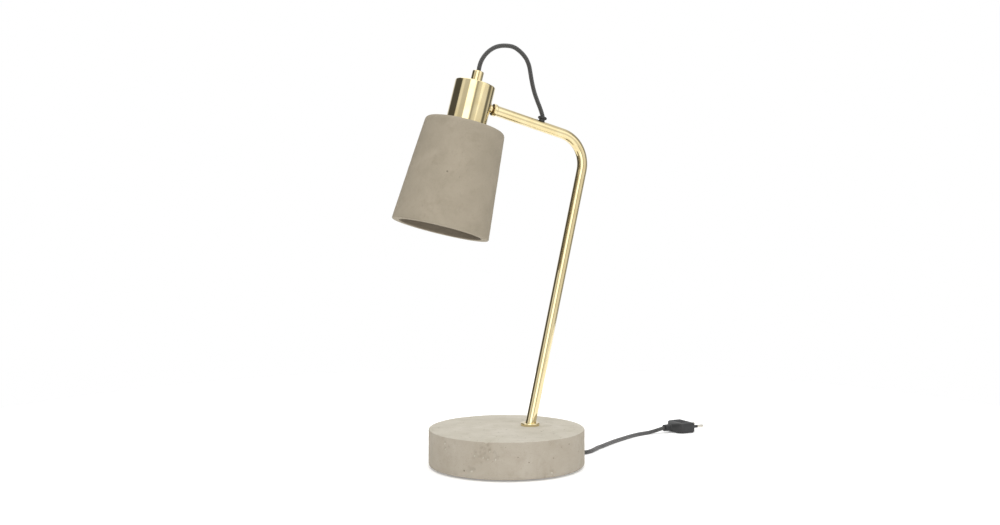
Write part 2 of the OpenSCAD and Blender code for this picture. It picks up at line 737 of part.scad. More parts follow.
module switch_upper() {
    top_h = switch_h - switch_split;
    color("#26262a") in_switch() difference() {
        union() {
            translate([0, 0, switch_split]) linear_extrude(top_h - 3) pad_outline(switch_l, switch_w, 8);
            translate([0, 0, switch_h - 3]) linear_extrude(1.5) pad_outline(switch_l - 1.2, switch_w - 1.2, 7.4);
            translate([0, 0, switch_h - 1.5]) linear_extrude(1.5) pad_outline(switch_l - 4, switch_w - 4, 6);
        }
        translate([0, 0, switch_split - cut]) linear_extrude(top_h - 2 + cut)
            pad_outline(switch_l - 2 * switch_wall - 2, switch_w - 2 * switch_wall - 2, 8 - switch_wall - 1);
        translate([-rocker_l / 2 - slack, -rocker_w / 2 - slack, 0])
            cube([rocker_l + 2 * slack, rocker_w + 2 * slack, switch_h + cut]);
        translate([-switch_l, 0, switch_split]) rotate([0, 90, 0]) cylinder(r = cord_r, h = 2 * switch_l);
    }
    color("#26262a") in_switch() for (s = [-1, 1]) difference() {
        translate([-3, s * (rocker_w / 2 + slack + 1) - 1, rocker_z - 3]) cube([6, 2, switch_h - 2 - rocker_z + 3]);
        translate([0, -switch_w, rocker_z]) rotate([-90, 0, 0]) cylinder(r = rocker_pin_r, h = 2 * switch_w);
    }
}

module switch_screws() {
    color("#b8bbbd") in_switch() at_switch_screws() cylinder(r = 1.2, h = switch_split);
}

module switch_contacts() {
    color("#c9a24a") in_switch() for (s = [-1, 1]) {
        translate([s * 8 - 2, -3, switch_wall]) cube([4, 6, 0.8]);
        translate([s * 8 - 0.4, -3, switch_wall]) cube([0.8, 6, 6]);
    }
}

module rocker_pin() {
    color("#b8bbbd") in_switch() translate([0, -rocker_w / 2 - slack - 2, rocker_z]) rotate([-90, 0, 0])
        cylinder(r = rocker_pin_r, h = rocker_w + 2 * slack + 4);
}

module switch_rocker() {
    half = rocker_travel / 2;
    crown = 2.6;
    color("#3a3a3e") in_switch() translate([0, 0, rocker_z]) rotate([0, half, 0]) difference() {
        translate([0, rocker_w / 2, 0]) rotate([90, 0, 0]) linear_extrude(rocker_w) polygon([
            [-rocker_l / 2 + 1, -2], [-4, -3.6], [4, -3.6], [rocker_l / 2 - 1, -2],
            [rocker_l / 2 - 1, crown + 1.2], [0, crown - 0.6], [-rocker_l / 2 + 1, crown + 1.2]]);
        translate([0, -rocker_w, 0]) rotate([-90, 0, 0]) cylinder(r = rocker_pin_r + fit, h = 2 * rocker_w);
    }
}

// ---- Plug ----
module plug_body() {
    color("#26262a") in_plug() difference() {
        intersection() {
            translate([0, 0, -plug_t / 2]) linear_extrude(plug_t) polygon([
                [0, -cord_r - 1.5], [plug_neck_l, -cord_r - 2.5], [plug_neck_l + 6, -plug_w / 2 + 5],
                [plug_neck_l + 12, -plug_w / 2], [plug_l - 1, -plug_w / 2], [plug_l, -plug_w / 2 + 1],
                [plug_l, plug_w / 2 - 1], [plug_l - 1, plug_w / 2], [plug_neck_l + 12, plug_w / 2],
                [plug_neck_l + 6, plug_w / 2 - 5], [plug_neck_l, cord_r + 2.5], [0, cord_r + 1.5]]);
            translate([0, plug_w, 0]) rotate([90, 0, 0]) linear_extrude(2 * plug_w) polygon([
                [0, -cord_r - 1.5], [plug_neck_l, -cord_r - 2.5], [plug_neck_l + 6, -plug_t / 2],
                [plug_l - 1, -plug_t / 2], [plug_l, -plug_t / 2 + 1], [plug_l, plug_t / 2 - 1], [plug_l - 1, plug_t / 2],
                [plug_neck_l + 6, plug_t / 2], [plug_neck_l, cord_r + 2.5], [0, cord_r + 1.5]]);
        }
        for (s = [-1, 1]) translate([plug_l - plug_root_l, s * plug_pin_gap / 2, 0]) rotate([0, 90, 0])
            cylinder(r = plug_root_r, h = plug_root_l + cut);
    }
}

module plug_sleeves() {
    color("#26262a") in_plug() for (s = [-1, 1]) translate([plug_l, s * plug_pin_gap / 2, 0]) rotate([0, 90, 0])
        tube(plug_pin_r - 0.1, plug_sleeve_r, plug_sleeve_l);
}

module plug_pins() {
    color("#c8cacb") in_plug() for (s = [-1, 1]) translate([plug_l, s * plug_pin_gap / 2, 0]) rotate([0, 90, 0]) {
        translate([0, 0, -plug_root_l]) cylinder(r = plug_root_r, h = plug_root_l);
        cylinder(r = plug_sleeve_r, h = plug_sleeve_l + cut);
        translate([0, 0, plug_sleeve_l]) cylinder(r = plug_pin_r, h = plug_pin_l - plug_sleeve_l - 1);
        translate([0, 0, plug_pin_l - 1]) cylinder(r1 = plug_pin_r, r2 = 1.2, h = 1);
    }
}

base_body();
base_inserts();
base_plate();
base_screws();
felt_pad();
stem_collar();
stem_stud();
base_washer();
spring_washer();
base_nut();
strain_relief();
cord_clamp();
clamp_screws();
base_cord();
stem_tube();
stem_cord();
arm_grommet();
arm_ring();
friction_washer();
pivot_screw();
wave_washer();
outer_saddle();
inner_saddle();
socket_cup();
cord_nipple();
grip_screw();
threaded_tube();
cup_washer();
cup_nut();
socket_cord();
holder_cap();
holder_body();
holder_insert();
screw_shell();
centre_contact();
terminal_screws();
socket_leads();
shade_gasket();
shade();
shade_ring();
loop_cord();
mains_cord_lead();
mains_cord_link();
mains_cord_coil();
mains_cord_tail();
coil_tie();
switch_lower();
switch_upper();
switch_screws();
switch_contacts();
rocker_pin();
switch_rocker();
plug_body();
plug_sleeves();
plug_pins();
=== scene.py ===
"""Table lamp with a cast concrete foot and shade on a bent brass tube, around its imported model, in metres."""
import itertools
import json
import math
import random

import bpy
from mathutils import Matrix, Vector, noise


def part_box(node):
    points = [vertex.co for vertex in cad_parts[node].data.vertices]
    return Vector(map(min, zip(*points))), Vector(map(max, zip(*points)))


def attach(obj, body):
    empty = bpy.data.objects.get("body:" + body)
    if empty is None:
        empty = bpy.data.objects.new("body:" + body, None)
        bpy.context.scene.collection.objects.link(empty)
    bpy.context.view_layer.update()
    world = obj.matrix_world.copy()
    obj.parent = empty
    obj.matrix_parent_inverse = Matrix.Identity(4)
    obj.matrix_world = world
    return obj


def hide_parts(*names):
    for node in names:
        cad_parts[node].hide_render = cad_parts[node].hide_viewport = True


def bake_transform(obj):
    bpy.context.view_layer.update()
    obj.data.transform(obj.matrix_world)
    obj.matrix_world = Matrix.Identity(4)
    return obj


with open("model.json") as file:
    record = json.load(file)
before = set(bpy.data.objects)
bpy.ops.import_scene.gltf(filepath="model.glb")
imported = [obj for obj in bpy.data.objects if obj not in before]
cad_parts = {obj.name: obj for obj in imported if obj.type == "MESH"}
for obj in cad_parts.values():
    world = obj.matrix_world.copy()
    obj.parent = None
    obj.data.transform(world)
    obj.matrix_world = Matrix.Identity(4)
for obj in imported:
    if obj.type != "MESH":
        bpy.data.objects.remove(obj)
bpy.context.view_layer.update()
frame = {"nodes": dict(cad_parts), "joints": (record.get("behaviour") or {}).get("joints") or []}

# ---- Camera ----
# A short telephoto view, a little above the middle of the lamp, from its front and slightly from the
# head's side.


def in_scene(name, data):
    """A new object with this data, in the scene."""
    made = bpy.data.objects.new(name, data)
    bpy.context.scene.collection.objects.link(made)
    return made


view_turn = math.radians(27.43)
view_distance = 1.400
camera_height = 0.2938
camera_dip = 2.416
camera_heading = 27.12
camera_data = bpy.data.cameras.new("camera")
camera_data.lens = 43.93
camera_data.sensor_width = 36
camera = in_scene("camera", camera_data)
camera.location = (-view_distance * math.sin(view_turn), -view_distance * math.cos(view_turn), camera_height)
camera.rotation_euler = (math.radians(90 - camera_dip), 0, -math.radians(camera_heading))
bpy.context.scene.camera = camera

# ---- Mains cord ----
# Round two-core lamp cord with a braided cotton jacket. It leaves the foot, goes through the switch,
# is wound into a coil behind the foot for storage, and comes round the foot to its plug.
cord_r = 0.0025
# The routes and the coil are in millimetres
coil_x = 64
coil_y = 113
coil_entry = (48, 82)
coil_radii = (35, 30, 25, 20, 22.5, 27.5, 32.5)
coil_lower_turns = 4
lower_z = 2.5
upper_z = 6.8
# A point without a height lies on the table
lead_route = [
    [90, 52, 15], [99, 57, 15], [108, 62, 14], [117, 69, 11], [125, 78, 7], [131, 89, 4], [134, 101],
    [134, 114], [130, 127], [123, 138, 4], [114, 147, 7], [104, 153, 9]]
switch_route = [
    [90, 160.25, 9], [76, 167.5, 9], [62, 174.75, 9]]
link_route = [
    [48, 182, 9], [38, 186, 6], [27, 188, 3], [15, 186], [5, 179], [0, 168], [-5, 157], [-10, 146],
    [-12, 134], [-9, 121], [0, 111], [12, 104], [24, 97], [36, 90], [48, 82]]
tail_route = [
    [49, 84, 7], [61, 76, 7.5], [71, 65, 6], [79, 54, 4], [85, 43], [89, 32], [92, 24], [97, 18],
    [104, 14], [111, 13], [118, 14], [126, 18], [135, 25], [144, 32], [154, 38], [166, 46], [180, 55],
    [194, 63], [209, 71], [225, 79], [241, 85], [256, 88], [269, 88, 4.5], [280, 87, 6.85],
    [288, 87, 6.85]]


def eased(share):
    """A share held between 0 and 1, with a soft start and end."""
    share = min(1, max(0, share))
    return share * share * (3 - 2 * share)


def coil_turns(step=10, hold=270, change=70, hump_h=0.5):
    """Points of the coil: each turn holds its radius and steps over to the next near its end."""
    points = []
    start = math.atan2(coil_entry[1] - coil_y, coil_entry[0] - coil_x)
    for turn, radius in enumerate(coil_radii):
        following = coil_radii[min(turn + 1, len(coil_radii) - 1)]
        low = turn < coil_lower_turns
        height = lower_z if low else upper_z
        next_height = lower_z if turn + 1 < coil_lower_turns else upper_z
        for angle in range(step if turn == 0 else 0, 360, step):
            share = eased((angle - hold) / change)
            hump = 0 if low else hump_h * math.sin(math.pi * share)
            r = radius + (following - radius) * share
            z = height + (next_height - height) * share + hump
            at = start + math.radians(angle)
            points.append([coil_x + r * math.cos(at), coil_y + r * math.sin(at), z])
    return points


def smooth_line(points, step=0.0022):
    """Catmull-Rom curve through points, with its own points about a step apart."""
    line = []
    count = len(points)
    for i in range(count - 1):
        a, b = points[max(i - 1, 0)], points[i]
        c, d = points[i + 1], points[min(i + 2, count - 1)]
        parts = max(1, round((c - b).length / step))
        for k in range(parts):
            t = k / parts
            bend = (2 * a - 5 * b + 4 * c - d) * t * t + (3 * b - a - 3 * c + d) * t * t * t
            line.append((2 * b + (c - a) * t + bend) / 2)
    line.append(points[-1].copy())
    return line


def colour(code):
    """An sRGB hex code as the linear colour that the nodes take."""
    shares = [int(code[i:i + 2], 16) / 255 for i in (1, 3, 5)]
    return (*[s / 12.92 if s <= 0.04045 else ((s + 0.055) / 1.055) ** 2.4 for s in shares], 1)


def add(tree, kind, inputs=(), **settings):
    """One more node. Its inputs take numbers, colours or other nodes' sockets, by name or by place."""
    made = tree.nodes.new(kind)
    for name, value in settings.items():
        setattr(made, name, value)
    for name, value in dict(inputs).items():
        if isinstance(value, bpy.types.NodeSocket):
            tree.links.new(value, made.inputs[name])
        else:
            made.inputs[name].default_value = value
    return made


def new_material(name, **sockets):
    """A material with the given constants on its shader, as its tree and shader for the rest."""
    made = bpy.data.materials.new(name)
    made.use_nodes = True
    shader = made.node_tree.nodes["Principled BSDF"]
    for socket, value in sockets.items():
        shader.inputs[socket.replace("_", " ").title().replace("Ior", "IOR")].default_value = value
    return made, made.node_tree, shader


def calc(tree, operation, *inputs):
    """What comes out of one more arithmetic node."""
    return add(tree, "ShaderNodeMath", dict(enumerate(inputs)), operation=operation).outputs[0]


def noise_of(tree, place, **settings):
    """What comes out of one more noise texture."""
    return add(tree, "ShaderNodeTexNoise", {"Vector": place, **settings}).outputs[0]


def bumped(tree, shader, height, distance, strength):
    """A relief on a shader."""
    bump = add(tree, "ShaderNodeBump", {"Height": height, "Distance": distance, "Strength": strength})
    tree.links.new(bump.outputs[0], shader.inputs["Normal"])


def braided_cotton():
    """Cotton lamp braid, 16 dark grey yarns woven over and under: matt, with a fine diamond relief, and painted
    shade in the gaps between the yarns.
    The real yarns are 0.9 mm wide. Here they are 1.3 mm, so that they show."""
    made, tree, shader = new_material("braided_cotton", roughness=0.9, sheen_weight=0.35, sheen_roughness=0.5)
    place = add(tree, "ShaderNodeTexCoord").outputs
    parts = add(tree, "ShaderNodeSeparateXYZ", {0: place["UV"]}).outputs
    yarns_around = 6.0
    yarns_per_metre = 310.0
    around = calc(tree, "MULTIPLY", parts["X"], yarns_around)
    along = calc(tree, "MULTIPLY", parts["Y"], yarns_per_metre)
    ways = [calc(tree, "ADD", around, along), calc(tree, "SUBTRACT", around, along)]
    yarns = [calc(tree, "ABSOLUTE", calc(tree, "SINE", calc(tree, "MULTIPLY", way, math.pi))) for way in ways]
    cell = calc(tree, "ADD", *[calc(tree, "FLOOR", way) for way in ways])
    over = calc(tree, "ABSOLUTE", calc(tree, "MODULO", cell, 2.0))
    relief = add(tree, "ShaderNodeMix", {0: over, 2: yarns[0], 3: yarns[1]})
    fuzz = noise_of(tree, place["Object"], Scale=900, Detail=3)
    height = calc(tree, "MULTIPLY_ADD", fuzz, 0.25, relief.outputs[0])
    bumped(tree, shader, height, 0.0004, 0.8)
    # The colour follows the relief: painted shade darkens the gaps between the yarns, and the fuzz varies the
    # yarns' own tone.
    shades = add(tree, "ShaderNodeValToRGB", {0: height})
    shades.color_ramp.elements[0].color = colour("#17181a")
    shades.color_ramp.elements[1].color = colour("#454442")
    tree.links.new(shades.outputs[0], shader.inputs["Base Color"])
    return made


cotton_braid = braided_cotton()


def quads(a, b, around):
    """Faces between two rings of points that start at a and at b."""
    return [(a + k, a + (k + 1) % around, b + (k + 1) % around, b + k) for k in range(around)]


def cord_piece(name, line, radius, sides=16):
    """A round jacket swept along a line, with its length in metres as V for the braid."""
    points = []
    faces = []
    upright = abs((line[1] - line[0]).normalized().z) > 0.9
    side = Vector((0, 1, 0)) if upright else Vector((0, 0, 1))
    gone = [0.0]
    for i, at in enumerate(line):
        ahead = (line[min(i + 1, len(line) - 1)] - line[max(i - 1, 0)]).normalized()
        side = (side - ahead * side.dot(ahead)).normalized()
        other = ahead.cross(side)
        for k in range(sides):
            turn = math.tau * k / sides
            points.append(at + radius * (math.cos(turn) * side + math.sin(turn) * other))
        if i:
            gone.append(gone[-1] + (at - line[i - 1]).length)
    for i in range(len(line) - 1):
        faces += quads(i * sides, (i + 1) * sides, sides)
    faces.append(tuple(reversed(range(sides))))
    faces.append(tuple((len(line) - 1) * sides + k for k in range(sides)))
    mesh = bpy.data.meshes.new(name)
    mesh.from_pydata(points, [], faces)
    mesh.shade_smooth()
    uv = mesh.uv_layers.new(name="UVMap")
    for face in mesh.polygons[:-2]:
        i, k = divmod(face.index, sides)
        corners = [(k, i), (k + 1, i), (k + 1, i + 1), (k, i + 1)]
        for loop, (across, ring) in zip(face.loop_indices, corners):
            uv.data[loop].uv = (across / sides, gone[ring])
    mesh.materials.append(cotton_braid)
    piece = in_scene(name, mesh)
    return piece


mains_route = lead_route + switch_route + link_route + coil_turns() + tail_route
mains_points = [Vector((*p, lower_z)[:3]) / 1000 for p in mains_route]
mains_line = smooth_line(mains_points)
mains_cord = cord_piece("mains_cord", mains_line, cord_r)
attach(mains_cord, "root")
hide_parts("mains_cord_lead", "mains_cord_link", "mains_cord_coil", "mains_cord_tail")

# ---- Cord loop ----
# The same cord comes out of the grip on top of the cup, bends over and goes into the arm through a
# rubber grommet. Its spare length lets the head swivel.
loop_route = [
    [-37.3, 445.3], [-35.8, 451.1], [-33.5, 460], [-29, 468], [-22, 475], [-13, 480], [-2, 482], [9, 481],
    [18, 476], [25, 469], [29, 461], [31, 452], [33, 442], [36, 431], [40, 421], [44, 412], [47, 403],
    [45.7, 397.5]]
loop_line = smooth_line([Vector((x, 0, z)) / 1000 for x, z in loop_route], 0.0015)
loop_cord = cord_piece("loop_cord_braid", loop_line, cord_r)
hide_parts("loop_cord")
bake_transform(loop_cord)

# ---- Floor and light ----
# A plain white table in a white studio. Soft light comes from all round, and darker gaps between the
# white walls give the brass its dark edges.
ahead = Vector((math.sin(view_turn), math.cos(view_turn), 0))
across = Vector((math.cos(view_turn), -math.sin(view_turn), 0))
table_r = 0.85
table_sides = 96


def ring_points(r, z, count):
    """Evenly spaced points of a circle about Z."""
    turns = [math.tau * k / count for k in range(count)]
    return [(r * math.cos(turn), r * math.sin(turn), z) for turn in turns]


table_mesh = bpy.data.meshes.new("white_table")
table_mesh.from_pydata(ring_points(table_r, 0, table_sides), [], [tuple(range(table_sides))])
# White laminate: matt, and a little self-lit, so that its shadows stay pale
table_paint, _, table_shader = new_material(
    "white_table_paint", base_color=colour("#f7f7f6"), roughness=0.95, emission_color=(1, 1, 1, 1),
    emission_strength=0.2)
table_shader.inputs["Specular IOR Level"].default_value = 0.1
table_mesh.materials.append(table_paint)
in_scene("white_table", table_mesh)


def soft_light(name, size, power, place, target=(0, 0, 0.25)):
    """A rectangular softbox that faces its target. Its place is to the right, ahead and up of the lamp."""
    data = bpy.data.lights.new(name, "AREA")
    data.shape = "RECTANGLE"
    data.size, data.size_y = size
    data.energy = power
    made = in_scene(name, data)
    made.location = across * place[0] + ahead * place[1] + Vector((0, 0, place[2]))
    made.rotation_euler = (Vector(target) - made.location).to_track_quat("-Z", "Y").to_euler()
    return made


soft_light("key", (1.2, 1.6), 3, (1.7, -1.0, 1.3))
soft_light("top", (2.6, 2.6), 24, (-0.2, 0.2, 2.2))

# Brightness of the studio by direction, in degrees to the right of the camera as seen from the lamp
studio_walls = [
    (-180, 0.9), (-152, 0.9), (-140, 0.10), (-80, 0.10), (-75, 1.0), (-60, 1.0), (-53, 0.72), (-26, 0.72),
    (-21, 2.2), (8, 2.2), (13, 1.4), (17, 0.45), (22, 0.45), (27, 0.8), (40, 1.0), (86, 1.0),
    (94, 0.2), (107, 0.2), (114, 0.7), (124, 0.7), (131, 0.15), (146, 0.15), (152, 0.9), (180, 0.9)]
ceiling_light = 1.15


def mixed(tree, share, first, second):
    """What comes out of one more mix of two colours."""
    return add(tree, "ShaderNodeMix", {0: share, 6: first, 7: second}, data_type="RGBA").outputs[2]


def ranged(tree, value, *ends):
    """A value taken from the range between the first two ends to the one between the last two."""
    return add(tree, "ShaderNodeMapRange", {0: value, **dict(enumerate(ends, 1))}).outputs[0]


def white_studio():
    """The walls' brightness by direction, running into an even white ceiling."""
    made = bpy.data.worlds.new("white_studio")
    made.use_nodes = True
    tree = made.node_tree
    way = add(tree, "ShaderNodeTexCoord").outputs["Generated"]
    right, near = [add(tree, "ShaderNodeVectorMath", {0: way, 1: axis}, operation="DOT_PRODUCT")
                   for axis in (across, -ahead)]
    turn = calc(tree, "ARCTAN2", right.outputs["Value"], near.outputs["Value"])
    share = ranged(tree, turn, -math.pi, math.pi)
    walls = add(tree, "ShaderNodeValToRGB", {0: share})
    stops = walls.color_ramp.elements
    while len(stops) < len(studio_walls):
        stops.new(1.0)
    for place, (degrees, light) in enumerate(studio_walls):
        stops[place].position = (degrees + 180) / 360
        stops[place].color = (light, light, light, 1)
    up = add(tree, "ShaderNodeSeparateXYZ", {0: way}).outputs["Z"]
    ceiling = (ceiling_light, ceiling_light, ceiling_light, 1)
    whole = mixed(tree, ranged(tree, up, 0.55, 0.85), walls.outputs[0], ceiling)
    looked_at = add(tree, "ShaderNodeLightPath").outputs["Is Camera Ray"]
    tree.links.new(mixed(tree, looked_at, whole, (1, 1, 1, 1)), tree.nodes["Background"].inputs[0])
    return made


bpy.context.scene.world = white_studio()
bpy.context.scene.view_settings.view_transform = "Standard"

# ---- Foot ----
# A disc of cast concrete, 180 mm across, with its edges rounded by the mould. Air bubbles left pits in its
# skin. It is hollow below, where a steel plate and a felt pad close it.


def span(node, place=Matrix.Identity(4)):
    """Lowest and highest corner of a CAD node, measured in the axes of a place."""
    back = place.inverted()
    points = [back @ v.co for v in frame["nodes"][node].data.vertices]
    return [Vector([pick(p[i] for p in points) for i in range(3)]) for pick in (min, max)]


def rounded(outline, steps=6, straight_share=0.12):
    """A closed outline of (x, y) or (x, y, fillet) points, with each fillet drawn as a curve."""
    made = []
    count = len(outline)
    for i, point in enumerate(outline):
        here = Vector(point[:2])
        fillet = point[2] if len(point) > 2 else 0
        if not fillet:
            made.append(here)
            continue
        before = Vector(outline[i - 1][:2]) - here
        after = Vector(outline[(i + 1) % count][:2]) - here
        reach = min(fillet, before.length * 0.49, after.length * 0.49)
        start = here + before.normalized() * reach
        end = here + after.normalized() * reach
        hold = reach * straight_share
        made.append(start + before.normalized() * hold)
        for k in range(steps + 1):
            t = k / steps
            made.append(start * (1 - t) ** 2 + here * 2 * t * (1 - t) + end * t * t)
        made.append(end + after.normalized() * hold)
    return made


def refined(outline, step):
    """The same outline with no stretch longer than a step."""
    made = []
    for a, b in zip(outline, outline[1:] + outline[:1]):
        parts = max(1, math.ceil((b - a).length / step - 0.01))
        made.extend(a.lerp(b, k / parts) for k in range(parts))
    return made


def lathe(outline, segments=96):
    """Points and faces of a closed section turned about Z. A point on the axis becomes a pole."""
    points = []
    faces = []
    rings = []
    for r, z in outline:
        ring = [(0, 0, z)] if r < 1e-6 else ring_points(r, z, segments)
        rings.append(range(len(points), len(points) + len(ring)))
        points += ring
    for a, b in zip(rings, rings[1:] + rings[:1]):
        if len(a) > 1 and len(b) > 1:
            faces += quads(a[0], b[0], segments)
        elif len(a) > 1:
            faces += [(a[k], a[(k + 1) % segments], b[0]) for k in range(segments)]
        elif len(b) > 1:
            faces += [(a[0], b[(k + 1) % segments], b[k]) for k in range(segments)]
    return points, faces


def solid(name, shape, body, material, replaces=(), place=Matrix.Identity(4), crease=40):
    """A finished piece: its mesh put in place, faces outwards, smooth up to the crease angle."""
    points, faces = shape
    mesh = bpy.data.meshes.new(name)
    mesh.from_pydata([place @ Vector(p) for p in points], [], faces)
    middle = sum((v.co for v in mesh.vertices), Vector()) / len(mesh.vertices)
    turned_in = sum((f.center - middle).dot(f.normal) * f.area for f in mesh.polygons) < 0
    if turned_in:
        mesh.flip_normals()
    mesh.shade_smooth()
    mesh.set_sharp_from_angle(angle=math.radians(crease))
    mesh.materials.append(material)
    piece = in_scene(name, mesh)
    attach(piece, body)
    if replaces:
        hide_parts(*replaces)
    return piece


def cast_skin(points, axis_top, seed, bubbles, wave=0.00025):
    """Moves a cast piece's points: broad unevenness of the mould, and a pit for each air bubble."""
    drawn = random.Random(seed)
    moved = []
    grid = {}
    cell = 0.004
    for centre, radius in bubbles(drawn):
        for near in itertools.product((-1, 0, 1), repeat=3):
            key = tuple(math.floor(c / cell) + s for c, s in zip(centre, near))
            grid.setdefault(key, []).append((centre, radius))
    shift = Vector((seed * 3.1, seed * 1.7, 0))
    for p in points:
        at = Vector(p)
        lift = wave * noise.noise(at * 30 + shift) + 0.4 * wave * noise.noise(at * 140 + shift)
        depth = 0
        for centre, radius in grid.get(tuple(math.floor(c / cell) for c in at), ()):
            away = (at - centre).length / radius
            if away < 1:
                depth = max(depth, radius * 0.8 * (1 - away * away))
        out = Vector((at.x, at.y, 0))
        out = out.normalized() if out.length > 1e-6 else out
        if axis_top - at.z < 0.0004:
            out = Vector((0, 0, 1))
        moved.append(at + out * (lift - depth))
    return moved


def cast_concrete(name, pale, deep, stain, speck_and_pit_shade, holes_above=0.72):
    """Fine cast concrete straight from a smooth mould: matt cement skin in two cloudy tones, sand specks of
    half a millimetre, and small air holes with painted shade in them. It gives a dry, chalky, slightly blotched
    surface."""
    made, tree, shader = new_material(name, roughness=0.88, ior=1.5)
    shader.inputs["Specular IOR Level"].default_value = 0.35
    place = add(tree, "ShaderNodeTexCoord").outputs["Object"]
    clouds = noise_of(tree, place, Scale=26, Detail=6, Roughness=0.62, Distortion=0.6)
    drops = noise_of(tree, place, Scale=75, Detail=5, Roughness=0.7)
    sand = noise_of(tree, place, Scale=1100, Detail=2)
    skin = mixed(tree, ranged(tree, clouds, 0.3, 0.7), colour(pale), colour(deep))
    skin = mixed(tree, ranged(tree, drops, 0.52, 0.8, 0, 0.5), skin, colour(stain))
    skin = mixed(tree, ranged(tree, sand, 0.6, 0.75, 0, 0.3), skin, colour(speck_and_pit_shade))
    holes = add(tree, "ShaderNodeTexVoronoi", {"Vector": place, "Scale": 170}).outputs
    rare = add(tree, "ShaderNodeSeparateColor", {0: holes["Color"]}).outputs[0]
    hole = calc(tree, "LESS_THAN", holes["Distance"], ranged(tree, rare, holes_above, 1, 0, 0.2))
    # Each air hole is painted darker in the speck tone: painted shade inside the pit. The bump below gives its
    # real dent.
    skin = mixed(tree, calc(tree, "MULTIPLY", hole, 0.7), skin, colour(speck_and_pit_shade))
    grain = calc(tree, "MULTIPLY_ADD", sand, 0.35, drops)
    bumped(tree, shader, calc(tree, "MULTIPLY_ADD", hole, -1.2, grain), 0.0005, 0.45)
    tree.links.new(skin, shader.inputs["Base Color"])
    return made


foot_concrete = cast_concrete("cast_concrete", "#c3bdb1", "#b4ae9f", "#a19a8a", "#7d7463")
# A darker copy of the same tones for the foot's side: painted shade
foot_side_painted_shade_concrete = cast_concrete("cast_concrete_side_painted_shade", "#aca497", "#9f9687", "#8e8575", "#6b6254")
foot_lo, foot_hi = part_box("base_body")
foot_r = foot_hi.x
foot_top = foot_hi.z
foot_low = foot_lo.z
plate_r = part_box("base_plate")[1].x + 0.0003
plate_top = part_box("base_plate")[1].z
# Clusters of air bubbles: direction in degrees, height, spread and number
bubble_clusters = [
    (227, 0.030, 0.007, 26), (216, 0.013, 0.004, 7), (276, 0.006, 0.006, 6), (196, 0.034, 0.005, 6),
    (20, 0.028, 0.009, 18), (95, 0.016, 0.008, 14), (150, 0.030, 0.010, 10), (318, 0.034, 0.006, 8)]


def foot_bubbles(drawn):
    """Centres and radii of the pits: the clusters, then 70 small ones on the side and the top."""
    def spot(r, turn, z):
        return Vector((r * math.cos(turn), r * math.sin(turn), z))

    made = []
    for direction, height, spread, count in bubble_clusters:
        for _ in range(count):
            turn = math.radians(direction) + drawn.gauss(0, spread) / foot_r
            z = min(foot_top, max(foot_low, height + drawn.gauss(0, spread * 0.6)))
            made.append((spot(foot_r, turn, z), drawn.uniform(0.0011, 0.0022)))
    for _ in range(70):
        turn = drawn.uniform(0, math.tau)
        if drawn.random() < 0.6:
            z = drawn.uniform(foot_low + 0.003, foot_top - 0.002)
            made.append((spot(foot_r, turn, z), drawn.uniform(0.0006, 0.0012)))
        else:
            r = foot_r * math.sqrt(drawn.uniform(0.02, 0.94))
            made.append((spot(r, turn, foot_top), drawn.uniform(0.0006, 0.0013)))
    return made


foot_outline = rounded([
    (0, plate_top), (plate_r, plate_top), (plate_r, foot_low, 0.0004), (foot_r, foot_low, 0.0028),
    (foot_r, foot_top, 0.0024), (0, foot_top)])
foot_points, foot_faces = lathe(refined(foot_outline, 0.0015), 520)
foot = solid("foot", (cast_skin(foot_points, foot_top, 3, foot_bubbles), foot_faces), "root", foot_concrete,
             ["base_body"], crease=80)
# The side takes a darker copy of the concrete's tones: painted shade, as the side gets less light than the top.
# Faces that point upwards, such as the lower walls of pits in the side, keep the top's paler tones.
foot.data.materials.append(foot_side_painted_shade_concrete)
for face in foot.data.polygons:
    face.material_index = int(face.normal.z < 0.6)

# ---- Felt pad ----
# Die-cut wool felt, 2 mm thick, glued to the steel plate. Its cut edge is a little soft.


def two_tone(name, first, second, scale, detail=4, distortion=0.0, gloss=None, grain=None, **sockets):
    """A finish of two close shades that wander at one scale. Gloss gives the two ends of a roughness that
    wanders with them. Grain gives the scale, depth and strength of a relief."""
    made, tree, shader = new_material(name, **sockets)
    place = add(tree, "ShaderNodeTexCoord").outputs["Object"]
    wander = noise_of(tree, place, Scale=scale, Detail=detail, Distortion=distortion)
    tree.links.new(mixed(tree, wander, colour(first), colour(second)), shader.inputs["Base Color"])
    if gloss:
        tree.links.new(ranged(tree, wander, 0, 1, *gloss), shader.inputs["Roughness"])
    if grain:
        relief = wander if grain[0] == scale else noise_of(tree, place, Scale=grain[0], Detail=2)
        bumped(tree, shader, relief, *grain[1:])
    return made


# Pressed wool felt: short fibres in all directions, matt, with a soft sheen
felt = two_tone("wool_felt", "#242426", "#4a4a4d", 700, 5, 2.5, grain=(700, 0.0004, 0.7), roughness=1.0,
                sheen_weight=0.4)
felt_lo, felt_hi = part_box("felt_pad")
felt_outline = rounded([
    (0, felt_lo.z), (felt_hi.x, felt_lo.z, 0.0004), (felt_hi.x, felt_hi.z, 0.0003), (0, felt_hi.z)])
solid("felt_disc", lathe(felt_outline, 160), "root", felt, ["felt_pad"])

# ---- Head frame ----
# The head turns about the arm's axis. Everything on the head is turned or bored about the cup's axis,
# which stands square to it, so both are taken from the swivel joint.
swivel = next(j for j in frame["joints"] if j["name"] == "head_swivel")
head_at = Vector(swivel["pos_m"])
arm_axis = Vector(swivel["axis"]).normalized()
cup_axis = arm_axis.cross(Vector((0, 1, 0)))
cup_axis = cup_axis if cup_axis.z > 0 else -cup_axis
in_head = Matrix((
    (arm_axis.x, 0, cup_axis.x, head_at.x), (arm_axis.y, 1, cup_axis.y, head_at.y),
    (arm_axis.z, 0, cup_axis.z, head_at.z), (0, 0, 0, 1)))


def turned(degrees, axis):
    """A turn about one of the three axes."""
    return Matrix.Rotation(math.radians(degrees), 4, axis)


on_pivot = in_head @ turned(90, "Y")
